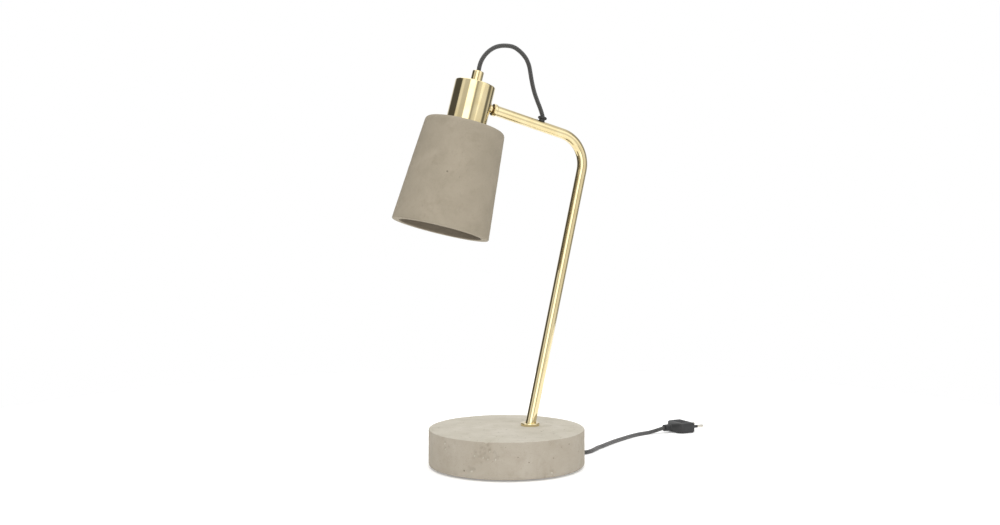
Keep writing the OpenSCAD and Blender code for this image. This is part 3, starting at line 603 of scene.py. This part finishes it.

# ---- Shade ----
# A flared hood, cast in the same concrete with a 9 mm wall. It came from the mould with a rounded
# shoulder, and its rim is rubbed flat.
shade_lo, shade_hi = span("shade", in_head)
ring_lo, ring_hi = span("shade_ring", in_head)
shade_mouth_r = shade_hi.x
shade_top = shade_hi.z
shade_bottom = shade_lo.z
shade_under = ring_hi.z
shade_top_r = 0.0455
shade_wall = 0.009
shade_hole_r = 0.0206
shade_inner_top_r = shade_top_r - shade_wall * 1.005 + 0.001
shade_concrete = cast_concrete("cast_concrete_shade", "#9d9382", "#918877", "#827967", "#675e4f", 0.94)
# A darker copy of the shade's tones for its inside: painted shade
shade_inside_painted_shade = cast_concrete("cast_concrete_inside_painted_shade", "#7a7061", "#716758", "#665c4c", "#524a3d")


def shade_bubbles(drawn):
    """Centres and radii of 120 small pits, all over the outside."""
    made = []
    tall = shade_top - shade_bottom
    for _ in range(120):
        turn = drawn.uniform(0, math.tau)
        share = drawn.random()
        r = shade_top_r + (shade_mouth_r - shade_top_r) * share
        spot = Vector((r * math.cos(turn), r * math.sin(turn), shade_top - tall * share))
        made.append((spot, drawn.uniform(0.0005, 0.0012)))
    return made


shade_outline = rounded([
    (shade_hole_r, shade_top, 0.0006), (shade_top_r, shade_top, 0.005), (shade_mouth_r, shade_bottom, 0.0018),
    (shade_mouth_r - shade_wall, shade_bottom, 0.0016), (shade_inner_top_r, shade_under, 0.006),
    (shade_hole_r, shade_under, 0.0006)])
shade_points, shade_faces = lathe(refined(shade_outline, 0.0018), 420)
hood = solid("shade_hood", (cast_skin(shade_points, shade_top, 8, shade_bubbles), shade_faces), "head",
             shade_concrete, ["shade"], in_head, crease=80)
# The inside walls and the underside of the top take a darker copy of the shade's tones: painted shade inside
# the hood.
hood.data.materials.append(shade_inside_painted_shade)
for face in hood.data.polygons:
    from_axis = in_head.inverted() @ face.center
    out = (in_head.inverted().to_3x3() @ face.normal).dot(Vector((from_axis.x, from_axis.y, 0)).normalized())
    under = (in_head.inverted().to_3x3() @ face.normal).z < -0.5 and from_axis.z > shade_bottom + 0.02
    face.material_index = int(out < -0.5 or under)

# ---- Brass ----
# The collar, tube, ring, cup and cord grip are turned or drawn from brass, polished and lacquered.


def polished_brass():
    """Polished, clear-lacquered brass: pale yellow metal that mirrors the room, with only the faintest
    clouding where the lacquer has aged. Metal, so its IOR stays as it is."""
    made, tree, shader = new_material("polished_brass", metallic=1.0)
    place = add(tree, "ShaderNodeTexCoord").outputs["Object"]
    clouds = noise_of(tree, place, Scale=60, Detail=3, Roughness=0.55)
    metal = mixed(tree, ranged(tree, clouds, 0.35, 0.75), colour("#e2d3a9"), colour("#d8c696"))
    tree.links.new(metal, shader.inputs["Base Color"])
    tree.links.new(ranged(tree, clouds, 0.3, 0.7, 0.07, 0.12), shader.inputs["Roughness"])
    return made


brass = polished_brass()

# ---- Collar ----
# Turned brass collar that stands on the foot. The tube is brazed into it, and a hollow stud below it
# passes through the concrete to a nut.
collar_lo, collar_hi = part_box("stem_collar")
collar_x = (collar_lo.x + collar_hi.x) / 2
collar_r = (collar_hi.x - collar_lo.x) / 2
collar_top = collar_hi.z
tube_r = 0.006
bore_r = 0.0034
spigot_r = 0.008
at_collar = Matrix.Translation((collar_x, 0, 0))
collar_outline = rounded([
    (bore_r, collar_lo.z), (spigot_r, collar_lo.z), (spigot_r, foot_top), (collar_r, foot_top, 0.0003),
    (collar_r, collar_top, 0.0012), (tube_r + 0.0012, collar_top, 0.0003),
    (tube_r + 0.0004, collar_top - 0.0006), (bore_r, collar_top - 0.0006)])
solid("collar", lathe(collar_outline, 96), "root", brass, ["stem_collar"], at_collar)

# ---- Stem and arm ----
# One length of 12 mm brass tube with a 1 mm wall, bent cold over a former into a leaning stem and a
# rising arm. The cord runs inside it.
arm_length = 0.158
bend_r = 0.036
tube_wall = 0.001
ring_back = span("arm_ring", in_head)[1].x - 0.015
corner = head_at + arm_axis * arm_length
stem_foot = Vector((collar_x, 0, foot_top))
arm_end = head_at + arm_axis * ring_back


def node_tree(name, takes, gives):
    """A Geometry Nodes tree with named inputs, and the sockets that they come out of."""
    tree = bpy.data.node_groups.new(name, "GeometryNodeTree")
    for socket, kind in takes.items():
        tree.interface.new_socket(socket, in_out="INPUT", socket_type="NodeSocket" + kind)
    tree.interface.new_socket(gives, in_out="OUTPUT", socket_type="NodeSocketGeometry")
    return tree, add(tree, "NodeGroupInput").outputs


def realized(tree, geometry, material):
    """The end of a tree: real geometry with its material."""
    whole = add(tree, "GeometryNodeRealizeInstances", {0: geometry})
    dressed = add(tree, "GeometryNodeSetMaterial", {"Geometry": whole.outputs[0], "Material": material})
    add(tree, "NodeGroupOutput", {0: dressed.outputs[0]})
    return tree


def bent_tube_tree():
    """A polyline in, a tube out: its corners are bent to one radius and a circle is swept along it."""
    tree, given = node_tree("bent_tube", {"Line": "Geometry", "Tube radius": "Float", "Bend radius": "Float",
                                          "Metal": "Material"}, "Tube")
    line = add(tree, "GeometryNodeMeshToCurve", {0: given["Line"]})
    bends = add(tree, "GeometryNodeFilletCurve", {"Curve": line.outputs[0], "Radius": given["Bend radius"],
                                                  "Count": 48}, mode="POLY")
    even = add(tree, "GeometryNodeResampleCurve", {"Curve": bends.outputs[0], "Length": 0.003}, mode="LENGTH")
    circle = add(tree, "GeometryNodeCurvePrimitiveCircle", {"Resolution": 64, "Radius": given["Tube radius"]})
    swept = add(tree, "GeometryNodeCurveToMesh", {0: even.outputs[0], 1: circle.outputs[0]})
    smooth = add(tree, "GeometryNodeSetShadeSmooth", {0: swept.outputs[0]})
    return realized(tree, smooth.outputs[0], given["Metal"])


def grown(name, mesh, tree, values):
    """A mesh run through a node tree, as the plain mesh that comes out. Values are set by identifier."""
    carrier = in_scene(name + "_carrier", mesh)
    modifier = carrier.modifiers.new("grow", "NODES")
    modifier.node_group = tree
    sockets = {s.name: s.identifier for s in tree.interface.items_tree if s.in_out == "INPUT"}
    for socket, value in values.items():
        modifier[sockets[socket]] = value
    bpy.context.view_layer.update()
    seen = carrier.evaluated_get(bpy.context.evaluated_depsgraph_get())
    made = bpy.data.meshes.new_from_object(seen)
    carrier.modifiers.remove(modifier)
    bpy.data.objects.remove(carrier)
    made.name = name
    return made


tube_line = bpy.data.meshes.new("tube_line")
tube_line.from_pydata([stem_foot, corner, arm_end], [(0, 1), (1, 2)], [])
tube_mesh = grown("bent_tube", tube_line, bent_tube_tree(),
                  {"Tube radius": tube_r, "Bend radius": bend_r, "Metal": brass})
bent_tube = in_scene("bent_tube", tube_mesh)
wall = bent_tube.modifiers.new("wall", "SOLIDIFY")
wall.thickness = tube_wall
wall.offset = -1
bpy.context.view_layer.update()
walled_mesh = bpy.data.meshes.new_from_object(bent_tube.evaluated_get(bpy.context.evaluated_depsgraph_get()))
bent_tube.modifiers.clear()
bent_tube.data = walled_mesh
walled_mesh.set_sharp_from_angle(angle=math.radians(40))
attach(bent_tube, "root")
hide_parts("stem_tube")

# ---- Grommet ----
# Black rubber grommet, pulled through a hole in the arm's upper side so that the cord isn't cut by it.
# Black moulded rubber: dull, with a faint grey bloom and a fine pebble from the mould
rubber = two_tone("moulded_rubber", "#131314", "#2b2b2c", 160, grain=(1500, 0.0002, 0.35), roughness=0.62,
                  ior=1.52)
grommet_lo, grommet_hi = span("arm_grommet", in_head)
grommet_x = (grommet_lo.x + grommet_hi.x) / 2
grommet_r = grommet_hi.y
grommet_neck_r = 0.0034
grommet_head_z = grommet_hi.z - 0.0026
at_grommet = in_head @ Matrix.Translation((grommet_x, 0, 0))
grommet_outline = rounded([
    (cord_r, grommet_lo.z, 0.0003), (grommet_neck_r, grommet_lo.z, 0.0003),
    (grommet_neck_r, grommet_head_z, 0.0006), (grommet_r, grommet_head_z, 0.0012),
    (grommet_r, grommet_hi.z, 0.0012), (cord_r, grommet_hi.z, 0.0006)])
solid("grommet", lathe(grommet_outline, 64), "root", rubber, ["arm_grommet"], at_grommet)

# ---- Ring on the arm ----
# Turned brass ring on the arm's end, with a spigot inside the tube. The pivot screw goes through it.
arm_ring_lo, arm_ring_hi = span("arm_ring", in_head)
pivot_r = 0.003
inside_r = tube_r - tube_wall
ring_outline = rounded([
    (pivot_r, arm_ring_lo.x, 0.0002), (arm_ring_hi.y, arm_ring_lo.x, 0.0007),
    (arm_ring_hi.y, ring_back, 0.0014), (inside_r, ring_back), (inside_r, arm_ring_hi.x, 0.0005),
    (pivot_r, arm_ring_hi.x)])
solid("arm_end_ring", lathe(ring_outline, 80), "root", brass, ["arm_ring"], on_pivot)

# ---- Saddle ----
# Short turned spacer between ring and cup. It is hollowed to sit on the cup's round wall, and a washer of
# vulcanised fibre between it and the ring gives the swivel its friction.
cup_lo, cup_hi = span("socket_cup", in_head)
cup_r = cup_hi.y
cup_top = cup_hi.z
cup_bottom = cup_lo.z
saddle_hi = span("outer_saddle", in_head)[1]
saddle_r = saddle_hi.y
saddle_inside = cup_r - 0.0009
saddle_outline = rounded([
    (pivot_r + 0.0001, saddle_inside), (saddle_r, saddle_inside), (saddle_r, saddle_hi.x - 0.0012, 0.0008),
    (saddle_r - 0.0006, saddle_hi.x, 0.0003), (pivot_r + 0.0001, saddle_hi.x)])
solid("saddle", lathe(saddle_outline, 64), "head", brass, ["outer_saddle"], on_pivot)

# ---- Cup ----
# Deep-drawn brass cup over the lampholder, open below. Its top edge keeps the die's small radius.
cup_wall = 0.0012
cup_hole_r = 0.005
cup_inside_r = cup_r - cup_wall
cup_ceiling = cup_top - 0.0015
cup_outline = rounded([
    (cup_hole_r, cup_top), (cup_r, cup_top, 0.0011), (cup_r, cup_bottom, 0.0004),
    (cup_inside_r, cup_bottom, 0.0004), (cup_inside_r, cup_ceiling, 0.0008), (cup_hole_r, cup_ceiling)])
solid("cup", lathe(cup_outline, 128), "head", brass, ["socket_cup"], in_head)

# ---- Cord grip ----
# Turned brass cord grip, screwed onto the threaded tube above the cup. A side screw holds the cord.
grip_lo, grip_hi = span("cord_nipple", in_head)
grip_r = grip_hi.y
grip_outline = rounded([
    (cord_r, grip_lo.z), (grip_r, grip_lo.z, 0.0004), (grip_r, grip_hi.z, 0.0009),
    (cord_r + 0.0003, grip_hi.z, 0.0005), (cord_r, grip_hi.z - 0.001)])
solid("cord_grip", lathe(grip_outline, 80), "head", brass, ["cord_nipple"], in_head)

# ---- Strain relief ----
# Black rubber sleeve where the cord leaves the foot. It tapers and has grooves, so it bends a little at
# every groove and the cord never kinks at the concrete.
relief_direction = 30
relief_z = 0.015
at_outlet = Matrix.Translation((0, 0, relief_z)) @ turned(relief_direction, "Z") @ turned(90, "Y")
relief_lo, relief_hi = span("strain_relief", at_outlet)
relief_tip = relief_hi.z
relief_flange_r = relief_hi.y
relief_root_r = 0.0049
relief_tip_r = cord_r + 0.0010
relief_face = foot_r + 0.0025
first_groove = relief_face + 0.0038
groove_spacing = 0.0044
groove_section = ((0, 0), (0.0003, 0.0011), (0.0017, 0.0011), (0.002, 0))
relief_outline = [
    (cord_r, relief_lo.z), (relief_root_r, relief_lo.z), (relief_root_r, foot_r),
    (relief_flange_r, foot_r, 0.0004), (relief_flange_r, relief_face, 0.0012),
    (relief_root_r, relief_face, 0.0005)]
for groove in range(4):
    for side, depth in groove_section:
        z = first_groove + groove_spacing * groove + side
        share = (z - relief_face) / (relief_tip - relief_face)
        taper = relief_root_r + (relief_tip_r - relief_root_r) * share
        relief_outline.append((max(cord_r + 0.0004, taper - depth), z, 0.0003))
relief_outline += [(relief_tip_r, relief_tip, 0.0006), (cord_r, relief_tip)]
solid("cord_sleeve", lathe(rounded(relief_outline, steps=4), 64), "root", rubber,
      ["strain_relief"], at_outlet)

# ---- Lampholder ----
# Three-part E27 lampholder: a black phenolic cap and skirt with an outside thread, a porcelain insert
# with its terminals, and a brass screw shell. The skirt's thread carries the ring that clamps the shade.
# Moulded black phenolic: hard and glossy, with slight flow marks and a deep brown-black body
black_phenolic = two_tone("phenolic", "#111012", "#252325", 120, distortion=1.5, gloss=(0.22, 0.4),
                          roughness=0.28, ior=1.6)
body_lo, body_hi = span("holder_body", in_head)
holder_r = body_hi.y
skirt_bottom = body_lo.z
skirt_top = body_hi.z
shell_lo, shell_hi = span("screw_shell", in_head)
shell_r = shell_hi.y
mouth_r = shell_r + 0.0005
thread_pitch = 0.0025


def threaded(outer_r, inner_r, bottom, top, pitch, depth, inside=False, around=96, margin=0.0012):
    """Points and faces of a sleeve with a rolled thread outside, or on both sides of a thin shell."""
    rows = max(8, round((top - bottom) / pitch * 8))
    points = []
    for surface in (0, 1):
        for row in range(rows + 1):
            z = bottom + (top - bottom) * row / rows
            fade = min(1, (z - bottom) / margin, (top - z) / margin)
            for k in range(around):
                turn = math.tau * k / around
                wave = depth * fade * 0.5 * (math.cos(math.tau * z / pitch - turn) - 1)
                r = (outer_r if surface == 0 else inner_r) + (wave if surface == 0 or inside else 0)
                points.append((r * math.cos(turn), r * math.sin(turn), z))
    layer = (rows + 1) * around
    faces = []
    for row in range(rows):
        faces += quads(row * around, (row + 1) * around, around)
    faces += [tuple(layer + i for i in face)[::-1] for face in faces]
    faces += [face[::-1] for face in quads(0, layer, around)]
    faces += quads(rows * around, layer + rows * around, around)
    return points, faces


skirt = threaded(holder_r, mouth_r, skirt_bottom, skirt_top, thread_pitch, 0.0006)
solid("holder_skirt", skirt, "head", black_phenolic, ["holder_body"], in_head, crease=60)
e27_pitch = 0.00363
shell = threaded(shell_r + 0.0001, shell_r - 0.0003, shell_lo.z, shell_hi.z - 0.0004, e27_pitch, 0.0008,
                 inside=True)
# Brass left as it was cut or rolled: satin, deeper yellow than the polished outside
raw_brass = two_tone("plain_brass", "#dcb768", "#b98f45", 220, gloss=(0.25, 0.45), metallic=1.0)
solid("screw_shell_thread", shell, "head", raw_brass, ["screw_shell"], in_head, crease=60)


def glazed_porcelain():
    """White electrical porcelain under a clear glaze: warm white, glossy, with a few iron specks."""
    made, tree, shader = new_material("glazed_porcelain", roughness=0.12, ior=1.5, coat_weight=0.5)
    place = add(tree, "ShaderNodeTexCoord").outputs["Object"]
    specks = ranged(tree, noise_of(tree, place, Scale=900, Detail=1), 0.74, 0.8, 0, 0.6)
    tree.links.new(mixed(tree, specks, colour("#ece8dd"), colour("#8a7a62")), shader.inputs["Base Color"])
    return made


porcelain = glazed_porcelain()
ring_hole_r = holder_r + 0.0001
flutes = 24


def grip_ring():
    """The clamp ring: a flange against the shade, a conical body, and its finger flutes."""
    flange_low = ring_hi.z - 0.002
    edge = 0.0004
    hub_r = holder_r + 0.0035
    outer_r = ring_hi.y
    section = [
        (ring_hole_r, ring_hi.z), (outer_r - edge, ring_hi.z), (outer_r, ring_hi.z - edge),
        (outer_r, flange_low + edge), (outer_r - edge, flange_low), (hub_r + 0.0022, flange_low - 0.0006),
        (hub_r, ring_lo.z + 0.0006), (hub_r - 0.0006, ring_lo.z), (ring_hole_r, ring_lo.z)]
    points, faces = lathe([Vector(p) for p in section], flutes * 8)
    made = []
    for x, y, z in points:
        turn = math.atan2(y, x)
        r = math.hypot(x, y)
        flute = max(0, math.cos(flutes * turn)) ** 2
        r -= 0.0009 * flute if r > hub_r - 0.001 else 0
        made.append((r * math.cos(turn), r * math.sin(turn), z))
    return made, faces


solid("clamp_ring", grip_ring(), "head", black_phenolic, ["shade_ring"], in_head, crease=50)

# ---- Coil tie ----
# Black rubber band, 6 mm wide, that holds the coil of spare cord together.


def extruded(outline, half_depth):
    """Points and faces of a closed outline in X and Z, drawn out along Y."""
    count = len(outline)
    points = [(x, side * half_depth, z) for side in (-1, 1) for x, z in outline]
    faces = [(k, (k + 1) % count, count + (k + 1) % count, count + k) for k in range(count)]
    faces.append(tuple(reversed(range(count))))
    faces.append(tuple(range(count, 2 * count)))
    return points, faces


def bevelled(piece, width, segments=3):
    """Rounds a piece's sharp edges, as a mould or a deburring stone leaves them."""
    edge = piece.modifiers.new("edge", "BEVEL")
    edge.width = width
    edge.segments = segments
    edge.limit_method = "ANGLE"
    edge.angle_limit = math.radians(40)
    return piece


coil_section_half = 0.0103
coil_section_top = 0.0105
band_t = 0.0008
band_half_w = 0.003
coil_mid_r = 0.0275
band_half = coil_section_half + band_t
band_top = coil_section_top - band_t
band_outline = rounded([
    (-band_half, 0), (-band_half, coil_section_top, 0.003), (band_half, coil_section_top, 0.003),
    (band_half, 0), (coil_section_half, 0), (coil_section_half, band_top, 0.0022),
    (-coil_section_half, band_top, 0.0022), (-coil_section_half, 0)])
tie_direction = 150
at_tie = Matrix.Translation((coil_x / 1000, coil_y / 1000, 0)) @ turned(tie_direction, "Z")
at_tie = at_tie @ Matrix.Translation((coil_mid_r, 0, 0))
tie = solid("cord_band", extruded(band_outline, band_half_w), "root", rubber, ["coil_tie"],
            at_tie)
bevelled(tie, 0.0002, 2)

# ---- Switch ----
# Two-part moulded housing on the cord, screwed together from below, with a rocker that tips on a steel
# pin. The cord goes in at both ends through short rounded mouths.

# Black moulded ABS: a fine spark-eroded grain, satin, slightly worn to a gloss
plastic = two_tone("moulded_plastic", "#161617", "#232324", 60, 3, gloss=(0.38, 0.55),
                   grain=(2200, 0.0001, 0.5), roughness=0.45, ior=1.53)


def round_pad(length, width, radius, parts=8):
    """Outline of a rectangle with round corners, centred."""
    made = []
    for quarter, (sx, sy) in enumerate(((1, 1), (-1, 1), (-1, -1), (1, -1))):
        cx = sx * (length / 2 - radius)
        cy = sy * (width / 2 - radius)
        for k in range(parts + 1):
            turn = math.pi / 2 * (quarter + k / parts)
            made.append((cx + radius * math.cos(turn), cy + radius * math.sin(turn)))
    return made


def stacked(levels):
    """Points and faces of round pads joined one to the next, closed at both ends."""
    points = []
    for z, length, width, radius in levels:
        points += [(x, y, z) for x, y in round_pad(length, width, radius)]
    around = len(points) // len(levels)
    faces = [tuple(reversed(range(around)))]
    for row in range(len(levels) - 1):
        faces += quads(row * around, (row + 1) * around, around)
    faces.append(tuple((len(levels) - 1) * around + k for k in range(around)))
    return points, faces


def joined(shapes):
    """Several (shape, place) pairs as one shape."""
    points = []
    faces = []
    for (some_points, some_faces), place in shapes:
        first = len(points)
        points += [place @ Vector(p) for p in some_points]
        faces += [tuple(first + i for i in face) for face in some_faces]
    return points, faces


rock = next(j for j in frame["joints"] if j["name"] == "rocker_tilt")
rock_at = Vector(rock["pos_m"])
switch_turn = turned(153, "Z")
at_switch = Matrix.Translation((rock_at.x, rock_at.y, 0)) @ switch_turn
case_lo, case_hi = span("switch_upper", at_switch)
case_top = case_hi.z
case_split = case_lo.z
# Each level is its height, how much shorter and narrower it is than its housing or well, and its corners
lower_levels = [
    (0, 0.003, 0.003, 0.0065), (0.0005, 0.0012, 0.0012, 0.0074), (0.0014, 0.0002, 0.0002, 0.0079),
    (case_split - 0.0006, 0, 0, 0.008), (case_split - 0.0002, 0.0004, 0.0004, 0.0078)]
upper_levels = [
    (case_split, 0.0008, 0.0008, 0.0076), (case_split + 0.0003, 0, 0, 0.008),
    (case_top - 0.0035, 0.0002, 0.0002, 0.0079), (case_top - 0.002, 0.001, 0.001, 0.0075),
    (case_top - 0.0009, 0.0026, 0.0026, 0.0067), (case_top - 0.0002, 0.005, 0.005, 0.0055),
    (case_top, 0.0075, 0.0072, 0.0045)]
well_levels = [
    (case_top, -0.0034, -0.0034, 0.002), (case_top - 0.0004, -0.0028, -0.0028, 0.0018),
    (case_top - 0.0004, -0.0006, -0.0006, 0.001), (case_top - 0.0008, 0, 0, 0.0008),
    (case_split + 0.0006, 0, 0, 0.0008)]
case_size = (case_hi.x - case_lo.x, case_hi.y - case_lo.y)
well_size = (0.0206, 0.0116)


def sized(levels, size):
    """The same levels with their lengths and widths, taken from those of the housing or well."""
    return [(z, size[0] - shorter, size[1] - narrower, radius) for z, shorter, narrower, radius in levels]


solid("switch_base", stacked(sized(lower_levels, case_size)), "root", plastic,
      ["switch_lower"], at_switch)
cover = stacked(sized(upper_levels, case_size) + sized(well_levels, well_size))
solid("switch_cover", cover, "root", plastic, ["switch_upper"], at_switch)
mouth_height = 0.009
mouth = lathe(rounded([
    (cord_r, -0.001), (0.0048, -0.001), (0.0044, 0.0006, 0.0004), (0.0036, 0.0016, 0.0006),
    (cord_r + 0.0001, 0.0016, 0.0003)]), 48)
mouths = []
for side in (-1, 1):
    end = Matrix.Translation((side * case_size[0] / 2, 0, mouth_height))
    mouths.append((mouth, end @ turned(side * 90, "Y")))
solid("switch_mouths", joined(mouths), "root", plastic, (), at_switch)

rocker_rest = 8
at_rocker = Matrix.Translation(rock_at) @ switch_turn @ turned(rocker_rest, "Y")
rocker_half, rocker_w, rocker_top = span("switch_rocker", at_rocker)[1]
rocker_dip = 0.0018
rocker_outline = [(-rocker_half, -0.002), (-0.004, -0.0036), (0.004, -0.0036), (rocker_half, -0.002)]
for i in range(13):
    x = rocker_half * (1 - i / 6)
    rocker_outline.append((x, rocker_top - rocker_dip * (1 - (x / rocker_half) ** 2)))
rocker = solid("rocker_button", extruded([Vector(p) for p in rocker_outline], rocker_w), "rocker", plastic,
               ["switch_rocker"], at_rocker, crease=30)
bevelled(rocker, 0.0006)

# ---- Plug ----
# Flat two-pole plug, moulded onto the cord in one piece: a ribbed neck, a body with grip ribs on both
# flat sides, and two 4 mm pins with insulated roots.
plug_lo, plug_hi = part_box("plug_body")
plug_at = Vector((plug_lo.x, (plug_lo.y + plug_hi.y) / 2, (plug_lo.z + plug_hi.z) / 2))
plug_l = plug_hi.x - plug_lo.x
plug_half_w = (plug_hi.y - plug_lo.y) / 2
plug_half_t = (plug_hi.z - plug_lo.z) / 2
along_x = Matrix.Translation(plug_at) @ turned(90, "Y") @ turned(90, "Z")
neck_l = 0.010
neck_half = 0.0044
neck_groove = 0.0007
neck_groove_spacing = 0.0028
shoulder = neck_l * 0.7
end_round = 0.0016
plug_levels = []
for i in range(61):
    x = plug_l * i / 60
    grow_w = eased((x - shoulder) / 0.013)
    grow_t = eased((x - shoulder) / 0.010)
    grooved = 0.001 < x < neck_l and math.cos(math.tau * x / neck_groove_spacing) < 0
    half_w = neck_half + (plug_half_w - neck_half) * grow_w - neck_groove * grooved
    half_t = neck_half + (plug_half_t - neck_half) * grow_t - neck_groove * grooved
    end = 0.0006 * eased((x - plug_l + end_round) / end_round)
    corner = min(half_w, half_t) * (0.98 - 0.45 * grow_t)
    plug_levels.append((x, 2 * (half_w - end), 2 * (half_t - end), corner - end))
solid("plug_moulding", stacked(plug_levels), "root", plastic, ["plug_body"], along_x,
      crease=50)


def row_tree():
    """A row of one item from a start to an end, joined into one mesh."""
    tree, given = node_tree("row", {"Ignored": "Geometry", "Item": "Object", "Count": "Int",
                                    "Start": "Vector", "Step": "Vector", "Material": "Material"}, "Row")
    line = add(tree, "GeometryNodeMeshLine", {"Count": given["Count"], "Start Location": given["Start"],
                                              "Offset": given["Step"]})
    item = add(tree, "GeometryNodeObjectInfo", {"Object": given["Item"]})
    placed = add(tree, "GeometryNodeInstanceOnPoints", {"Points": line.outputs[0],
                                                        "Instance": item.outputs["Geometry"]})
    return realized(tree, placed.outputs[0], given["Material"])


row = row_tree()
rib_half_w = 0.0105
first_rib = 0.0215
rib_spacing = 0.0026
rib_section = [
    (-0.0006, -0.0004), (0.0006, -0.0004), (0.0006, 0.0001), (0.0003, 0.0004), (-0.0003, 0.0004),
    (-0.0006, 0.0001)]
rib_points, rib_faces = extruded([Vector(p) for p in rib_section], rib_half_w)
rib_mesh = bpy.data.meshes.new("rib")
rib_mesh.from_pydata(rib_points, [], rib_faces)
rib_item = bpy.data.objects.new("rib_item", rib_mesh)
rib_row = grown("ribs", bpy.data.meshes.new("rib_seed"), row, {
    "Item": rib_item, "Count": 5, "Start": (plug_at.x + first_rib, plug_at.y, 0),
    "Step": (rib_spacing, 0, 0), "Material": plastic})
bpy.data.objects.remove(rib_item)
row_points = [v.co.copy() for v in rib_row.vertices]
row_faces = [tuple(f.vertices) for f in rib_row.polygons]
ribs = []
for side in (1, -1):
    lift = Matrix.Translation((0, 0, plug_at.z + side * plug_half_t)) @ Matrix.Diagonal((1, 1, side, 1))
    ribs.append(((row_points, [face[::side] for face in row_faces]), lift))
solid("plug_grip_ribs", joined(ribs), "root", plastic)
pin_gap = 0.0186
pin_r = 0.002
pin_l = 0.019
sleeve_l = 0.0095
pin_core_r = 0.0015
pin = lathe(rounded([
    (0, -0.004), (pin_core_r, -0.004), (pin_core_r, sleeve_l), (pin_r, sleeve_l, 0.0001),
    (pin_r, pin_l, 0.0012), (0, pin_l)]), 40)
sleeve = lathe(rounded([
    (pin_core_r, -0.001), (pin_r - 0.0001, -0.001), (pin_r - 0.0001, sleeve_l - 0.0001, 0.0002),
    (pin_core_r, sleeve_l - 0.0001)]), 40)
pins = []
sleeves = []
for side in (-1, 1):
    centre = Matrix.Translation((plug_at.x + plug_l, plug_at.y + side * pin_gap / 2, plug_at.z))
    pins.append((pin, centre @ turned(90, "Y")))
    sleeves.append((sleeve, centre @ turned(90, "Y")))
# Bright nickel plate on brass pins: warm silver, glossy, with fine rubbing marks from sockets
nickel = two_tone("nickel_plate", "#d8d4cb", "#b9b4a8", 400, gloss=(0.12, 0.3), metallic=1.0)
solid("plug_contact_pins", joined(pins), "root", nickel, ["plug_pins"])
solid("plug_pin_sleeves", joined(sleeves), "root", plastic, ["plug_sleeves"])

# ---- Inner parts ----
# Stud, washers, nuts, screws, plate, clamp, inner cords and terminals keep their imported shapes. They are
# hidden in the assembled lamp, and each takes the finish of the real part.

# Zinc-plated steel is pale blue-grey and satin, with the faint clouds of a chromated coat. The spring
# steel is darker from its hardening. Nylon, fibre and the cord's inner jackets are all dull.
zinc = two_tone("zinc_plate", "#c9ccd0", "#a8abae", 300, gloss=(0.25, 0.42), metallic=1.0)
spring_steel = two_tone("spring_steel", "#9a9da0", "#6d7073", 250, gloss=(0.25, 0.45), metallic=1.0)
cast_nylon = two_tone("moulded_nylon", "#ece8dc", "#d9d4c4", 200, gloss=(0.4, 0.55))
fibre = two_tone("vulcanised_fibre", "#7a6444", "#5b482f", 500, gloss=(0.6, 0.8))
inner_braid = two_tone("inner_cord_jacket", "#2c2c2d", "#515150", 900, gloss=(0.85, 1.0))
silicone = two_tone("silicone_insulation", "#8f5d3c", "#7a4c30", 300, gloss=(0.35, 0.5))
finishes = {
    zinc: "base_plate base_screws base_washer clamp_screws pivot_screw cup_washer terminal_screws "
          "switch_screws rocker_pin",
    spring_steel: "spring_washer wave_washer",
    raw_brass: "base_inserts stem_stud base_nut inner_saddle grip_screw threaded_tube cup_nut centre_contact "
               "switch_contacts",
    cast_nylon: "cord_clamp",
    fibre: "friction_washer",
    inner_braid: "base_cord stem_cord socket_cord",
    silicone: "socket_leads",
    rubber: "shade_gasket",
    porcelain: "holder_insert",
    black_phenolic: "holder_cap",
}
for finish, names in finishes.items():
    for name in names.split():
        node_mesh = frame["nodes"][name].data
        node_mesh.materials.clear()
        node_mesh.materials.append(finish)

bpy.context.view_layer.update()
